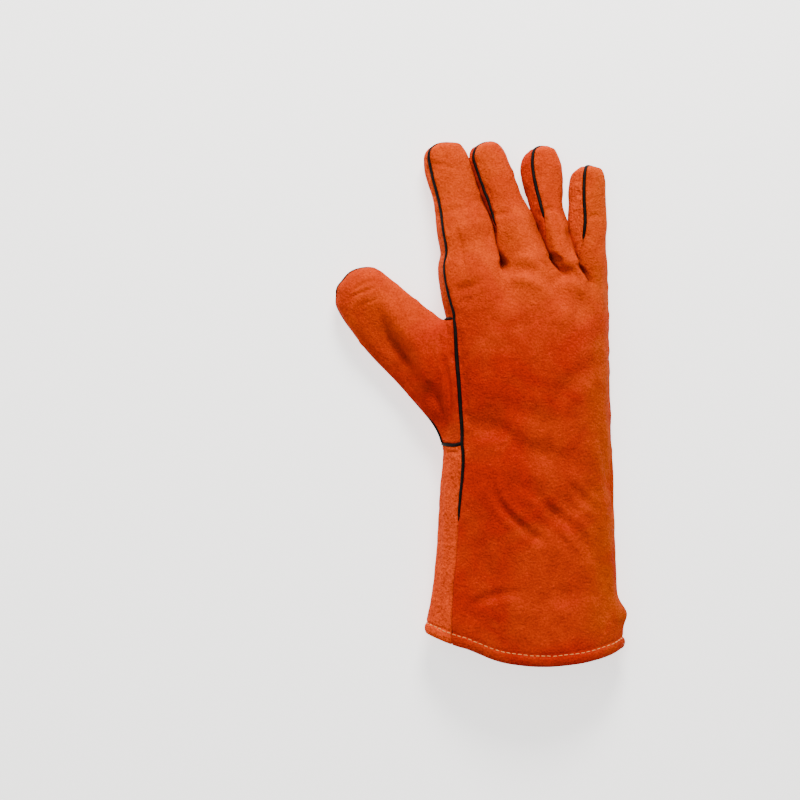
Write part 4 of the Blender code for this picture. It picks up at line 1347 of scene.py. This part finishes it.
def split_cowhide(name, base, nap, coarse, zones):
    """Split cowhide, sueded and dyed: a matt short nap that scatters light at grazing angles, dye
    that took unevenly over hand-sized clouds, a mottle of rubbed and fresh nap, and fibre grain."""
    # zones sets how strongly the dye clouds, the painted light over the fingers and the painted shade over
    # the cuff show
    material, tree, shader = new_material(name)
    place = node(tree, "ShaderNodeTexCoord").outputs["Object"]
    # hand-sized clouds of dye, 55 mm across
    cloud = node(tree, "ShaderNodeTexNoise", {"Vector": place}, in_Scale=1 / 0.055, in_Detail=3.0,
                 in_Roughness=0.55, in_Distortion=0.6)
    clouded = node(tree, "ShaderNodeMapRange", {"Value": cloud.outputs["Fac"]}, in_1=0.41, in_2=0.61)
    # rubbed nap, 12 mm patches
    rub = node(tree, "ShaderNodeTexNoise", {"Vector": place}, in_Scale=1 / 0.012, in_Detail=5.0,
               in_Roughness=0.62, in_Distortion=0.4)
    rubbed = node(tree, "ShaderNodeMapRange", {"Value": rub.outputs["Fac"]}, in_1=0.38, in_2=0.68)
    # fibre tufts: real ones are 0.5 mm, drawn at 1.5 mm so that they show
    fibre = node(tree, "ShaderNodeTexNoise", {"Vector": place}, in_Scale=1 / (0.0015 * coarse),
                 in_Detail=3.0, in_Roughness=0.7)
    speck = node(tree, "ShaderNodeMapRange", {"Value": fibre.outputs["Fac"]}, in_1=0.30, in_2=0.70)
    bright = linear(HIDE_BRIGHT)
    deep = tuple(zones * a + (1 - zones) * b for a, b in zip(linear(HIDE_DEEP), base))
    tone = mix_colour(tree, clouded.outputs["Result"], deep, bright)
    tone = mix_colour(tree, 0.65 * zones, base, tone)
    # painted light and shade: the fingers and the upper back are mixed toward the bright tone as painted
    # light (lit), the cuff toward the deep tone as painted shade (sunk)
    upper = band_mask(tree, place, "Y", -0.02, 0.085)
    lit = mix_colour(tree, 0.25 + 0.35 * zones, tone, bright)
    sunk = mix_colour(tree, 0.42 * zones, tone, deep)
    tone = mix_colour(tree, upper, sunk, lit)
    # browner, in ochre patches, along the little finger's side
    edge = band_mask(tree, place, "X", 0.032, 0.066)
    patch = node(tree, "ShaderNodeMapRange", {"Value": clouded.outputs["Result"]}, in_3=0.35, in_4=0.95)
    edge_part = node(tree, "ShaderNodeMath", {0: edge, 1: patch.outputs["Result"]}, operation="MULTIPLY")
    tone = mix_colour(tree, edge_part.outputs[0], tone, mix_colour(tree, 0.6, tone, linear(HIDE_OCHRE)))
    dark = mix_colour(tree, 0.34, tone, linear(HIDE_SHADE))
    tone = mix_colour(tree, rubbed.outputs["Result"], dark, tone)
    grain = mix_colour(tree, speck.outputs["Result"], (0.52, 0.38, 0.30), (1.34, 1.42, 1.4))
    tone = mix_colour(tree, min(1.0, 0.6 * coarse), tone, grain, "MULTIPLY")
    tree.links.new(tone, shader.inputs["Base Color"])
    rough = node(tree, "ShaderNodeMapRange", {"Value": rub.outputs["Fac"]}, in_3=0.80, in_4=0.98)
    tree.links.new(rough.outputs["Result"], shader.inputs["Roughness"])
    shader.inputs["IOR"].default_value = 1.4
    shader.inputs["Specular IOR Level"].default_value = 0.06
    shader.inputs["Sheen Weight"].default_value = nap
    shader.inputs["Sheen Roughness"].default_value = 0.5
    shader.inputs["Sheen Tint"].default_value = (1.0, 0.30, 0.05, 1)
    # the nap's own relief: fibre tufts and 3.5 mm pebbling under them
    pebble = node(tree, "ShaderNodeTexNoise", {"Vector": place}, in_Scale=1 / (0.0030 * coarse),
                  in_Detail=4.0, in_Roughness=0.6)
    relief = node(tree, "ShaderNodeMath", {0: fibre.outputs["Fac"], 1: pebble.outputs["Fac"]},
                  operation="ADD")
    bump = node(tree, "ShaderNodeBump", {"Height": relief.outputs[0]}, in_Strength=0.7,
                in_Distance=0.0012 * coarse)
    tree.links.new(bump.outputs["Normal"], shader.inputs["Normal"])
    return material


def coated_cord():
    """Piping of split leather with a black coated face: smooth, with a soft grey sheen and fine
    cross wrinkles where it bends."""
    material, tree, shader = new_material("coated_leather_piping")
    place = node(tree, "ShaderNodeTexCoord").outputs["Object"]
    wear = node(tree, "ShaderNodeTexNoise", {"Vector": place}, in_Scale=1 / 0.006, in_Detail=3.0)
    worn = node(tree, "ShaderNodeMapRange", {"Value": wear.outputs["Fac"]}, in_1=0.45, in_2=0.75)
    black = tuple(colours().cord)
    tone = mix_colour(tree, worn.outputs["Result"], black, linear(CORD_WORN))
    tree.links.new(tone, shader.inputs["Base Color"])
    shader.inputs["Roughness"].default_value = 0.55
    shader.inputs["IOR"].default_value = 1.5
    shader.inputs["Specular IOR Level"].default_value = 0.06
    creased = node(tree, "ShaderNodeTexNoise", {"Vector": place}, in_Scale=1 / 0.0016, in_Detail=2.0)
    bump = node(tree, "ShaderNodeBump", {"Height": creased.outputs["Fac"]}, in_Strength=0.3,
                in_Distance=0.0004)
    tree.links.new(bump.outputs["Normal"], shader.inputs["Normal"])
    return material


def sewing_thread():
    """Spun polyester sewing thread: pale, matt, with its twist just showing."""
    material, tree, shader = new_material("spun_thread")
    place = node(tree, "ShaderNodeTexCoord").outputs["Object"]
    twist = node(tree, "ShaderNodeTexNoise", {"Vector": place}, in_Scale=1 / 0.0008, in_Detail=1.0)
    tone = mix_colour(tree, twist.outputs["Fac"], tuple(0.7 * c for c in colours().thread),
                      tuple(colours().thread))
    tree.links.new(tone, shader.inputs["Base Color"])
    shader.inputs["Roughness"].default_value = 0.75
    shader.inputs["Sheen Weight"].default_value = 0.3
    return material


def studio_paper():
    """Matt white background paper, lit through from below like a light table."""
    material, tree, shader = new_material("studio_paper")
    place = node(tree, "ShaderNodeTexCoord").outputs["Object"]
    tooth = node(tree, "ShaderNodeTexNoise", {"Vector": place}, in_Scale=30.0, in_Detail=2.0)
    pale = linear(FLOOR_PALE)
    tone = mix_colour(tree, tooth.outputs["Fac"], tuple(0.985 * c for c in pale), pale)
    tree.links.new(tone, shader.inputs["Base Color"])
    shader.inputs["Roughness"].default_value = 0.95
    tree.links.new(tone, shader.inputs["Emission Color"])
    shader.inputs["Emission Strength"].default_value = PAPER_GLOW
    return material


def shared(name, make, *settings):
    """A material made once."""
    if name not in _made:
        _made[name] = make(*settings)
    return _made[name]


def hide_material():
    """The back's material."""
    return shared("hide", split_cowhide, "split_cowhide_sueded", tuple(colours().hide), 0.03, 1.0, 1.0)


def flesh_material():
    """The palm's material, with a coarser nap."""
    return shared("flesh", split_cowhide, "split_cowhide_flesh_side", tuple(colours().flesh), 0.03, 1.4, 0.2)


def front_material():
    """The material of the two middle fingers' fronts, in a deeper red than the palm."""
    return shared("front", split_cowhide, "split_cowhide_deep_red", linear(FRONT_RED), 0.03, 1.2, 0.0)


class GAUNTLET_OT_back(bpy.types.Operator):
    """Build the back, one panel from the hem to the backs of the four fingers"""

    bl_idname = "gauntlet.back"
    bl_label = "Back"

    def execute(self, context):
        leather_panel("back_panel", hide_material())
        return {"FINISHED"}


class GAUNTLET_OT_thumb(bpy.types.Operator):
    """Build the thumb's back"""

    bl_idname = "gauntlet.thumb"
    bl_label = "Thumb"

    def execute(self, context):
        leather_panel("thumb_back", hide_material())
        return {"FINISHED"}


class GAUNTLET_OT_palm(bpy.types.Operator):
    """Build the palm and the separate fronts of the two middle fingers"""

    bl_idname = "gauntlet.palm"
    bl_label = "Palm"

    def execute(self, context):
        leather_panel("palm_panel", flesh_material())
        for panel in ("middle_front", "ring_front"):
            leather_panel(panel, front_material())
        return {"FINISHED"}


class GAUNTLET_OT_cuff(bpy.types.Operator):
    """Build the cuff's palm side"""

    bl_idname = "gauntlet.cuff"
    bl_label = "Cuff"

    def execute(self, context):
        leather_panel("cuff_front", flesh_material())
        return {"FINISHED"}


class GAUNTLET_OT_piping(bpy.types.Operator):
    """Lay the piping in the seams"""

    bl_idname = "gauntlet.piping"
    bl_label = "Piping"

    def execute(self, context):
        for run in RUNS:
            piping(run, shared("cord", coated_cord))
        return {"FINISHED"}


class GAUNTLET_OT_stitches(bpy.types.Operator):
    """Sew the hem"""

    bl_idname = "gauntlet.stitches"
    bl_label = "Hem stitches"

    def execute(self, context):
        hem_stitches(shared("thread", sewing_thread))
        return {"FINISHED"}


def soft_light(name, place, size, power, colour):
    """A large soft light that points at the glove."""
    data = bpy.data.lights.new(name, "AREA")
    data.shape = "RECTANGLE"
    data.size, data.size_y = size
    data.energy = power
    data.color = colour
    light = bpy.data.objects.new(name, data)
    light.location = place
    light.rotation_euler = (LIGHT_AIM - Vector(place)).to_track_quat("-Z", "Y").to_euler()
    bpy.context.scene.collection.objects.link(light)


class GAUNTLET_OT_stage(bpy.types.Operator):
    """Set the paper, the soft lights and the camera straight above"""

    bl_idname = "gauntlet.stage"
    bl_label = "Stage"

    def execute(self, context):
        scene = context.scene
        mesh = bpy.data.meshes.new("paper")
        corners = [(x * PAPER_HALF, y * PAPER_HALF, 0) for x, y in ((-1, -1), (1, -1), (1, 1), (-1, 1))]
        mesh.from_pydata(corners, [], [(0, 1, 2, 3)])
        mesh.materials.append(studio_paper())
        paper = bpy.data.objects.new("paper", mesh)
        paper.location.z = PAPER_LEVEL
        scene.collection.objects.link(paper)
        world = bpy.data.worlds.new("studio")
        world.use_nodes = True
        background = world.node_tree.nodes["Background"]
        background.inputs["Color"].default_value = (1, 1, 1, 1)
        background.inputs["Strength"].default_value = WORLD_STRENGTH
        scene.world = world
        for light in LIGHTS:
            soft_light(*light)
        data = bpy.data.cameras.new("camera")
        camera = bpy.data.objects.new("camera", data)
        data.sensor_width = SENSOR
        data.lens = SENSOR * CAMERA_HEIGHT / VIEW_WIDTH
        camera.location = (VIEW_MIDDLE[0], VIEW_MIDDLE[1], CAMERA_HEIGHT + VIEW_LEVEL)
        scene.collection.objects.link(camera)
        scene.camera = camera
        return {"FINISHED"}


class GAUNTLET_PT_panel(bpy.types.Panel):
    """The gauntlet's sidebar"""

    bl_idname = "GAUNTLET_PT_panel"
    bl_label = "Welding gauntlet"
    bl_space_type = "VIEW_3D"
    bl_region_type = "UI"
    bl_category = "Gauntlet"

    def draw(self, context):
        for group in (context.scene.gauntlet_sizes, context.scene.gauntlet_colours):
            for name in group.__annotations__:
                self.layout.prop(group, name)
        for step in STEPS:
            self.layout.operator(step.bl_idname)


STEPS = (GAUNTLET_OT_back, GAUNTLET_OT_thumb, GAUNTLET_OT_palm, GAUNTLET_OT_cuff,
         GAUNTLET_OT_piping, GAUNTLET_OT_stitches, GAUNTLET_OT_stage)
CLASSES = (GauntletSizes, GauntletColours) + STEPS + (GAUNTLET_PT_panel,)


def register():
    """Make the settings, the operators and the sidebar known."""
    for cls in CLASSES:
        bpy.utils.register_class(cls)
    bpy.types.Scene.gauntlet_sizes = PointerProperty(type=GauntletSizes)
    bpy.types.Scene.gauntlet_colours = PointerProperty(type=GauntletColours)


def unregister():
    """Take them out again, the last first."""
    del bpy.types.Scene.gauntlet_colours
    del bpy.types.Scene.gauntlet_sizes
    for cls in reversed(CLASSES):
        bpy.utils.unregister_class(cls)


def main():
    """Build the dressed glove step by step."""
    register()
    for step in STEPS:
        group, name = step.bl_idname.split(".")
        getattr(getattr(bpy.ops, group), name)()


if __name__ == "__main__":
    main()
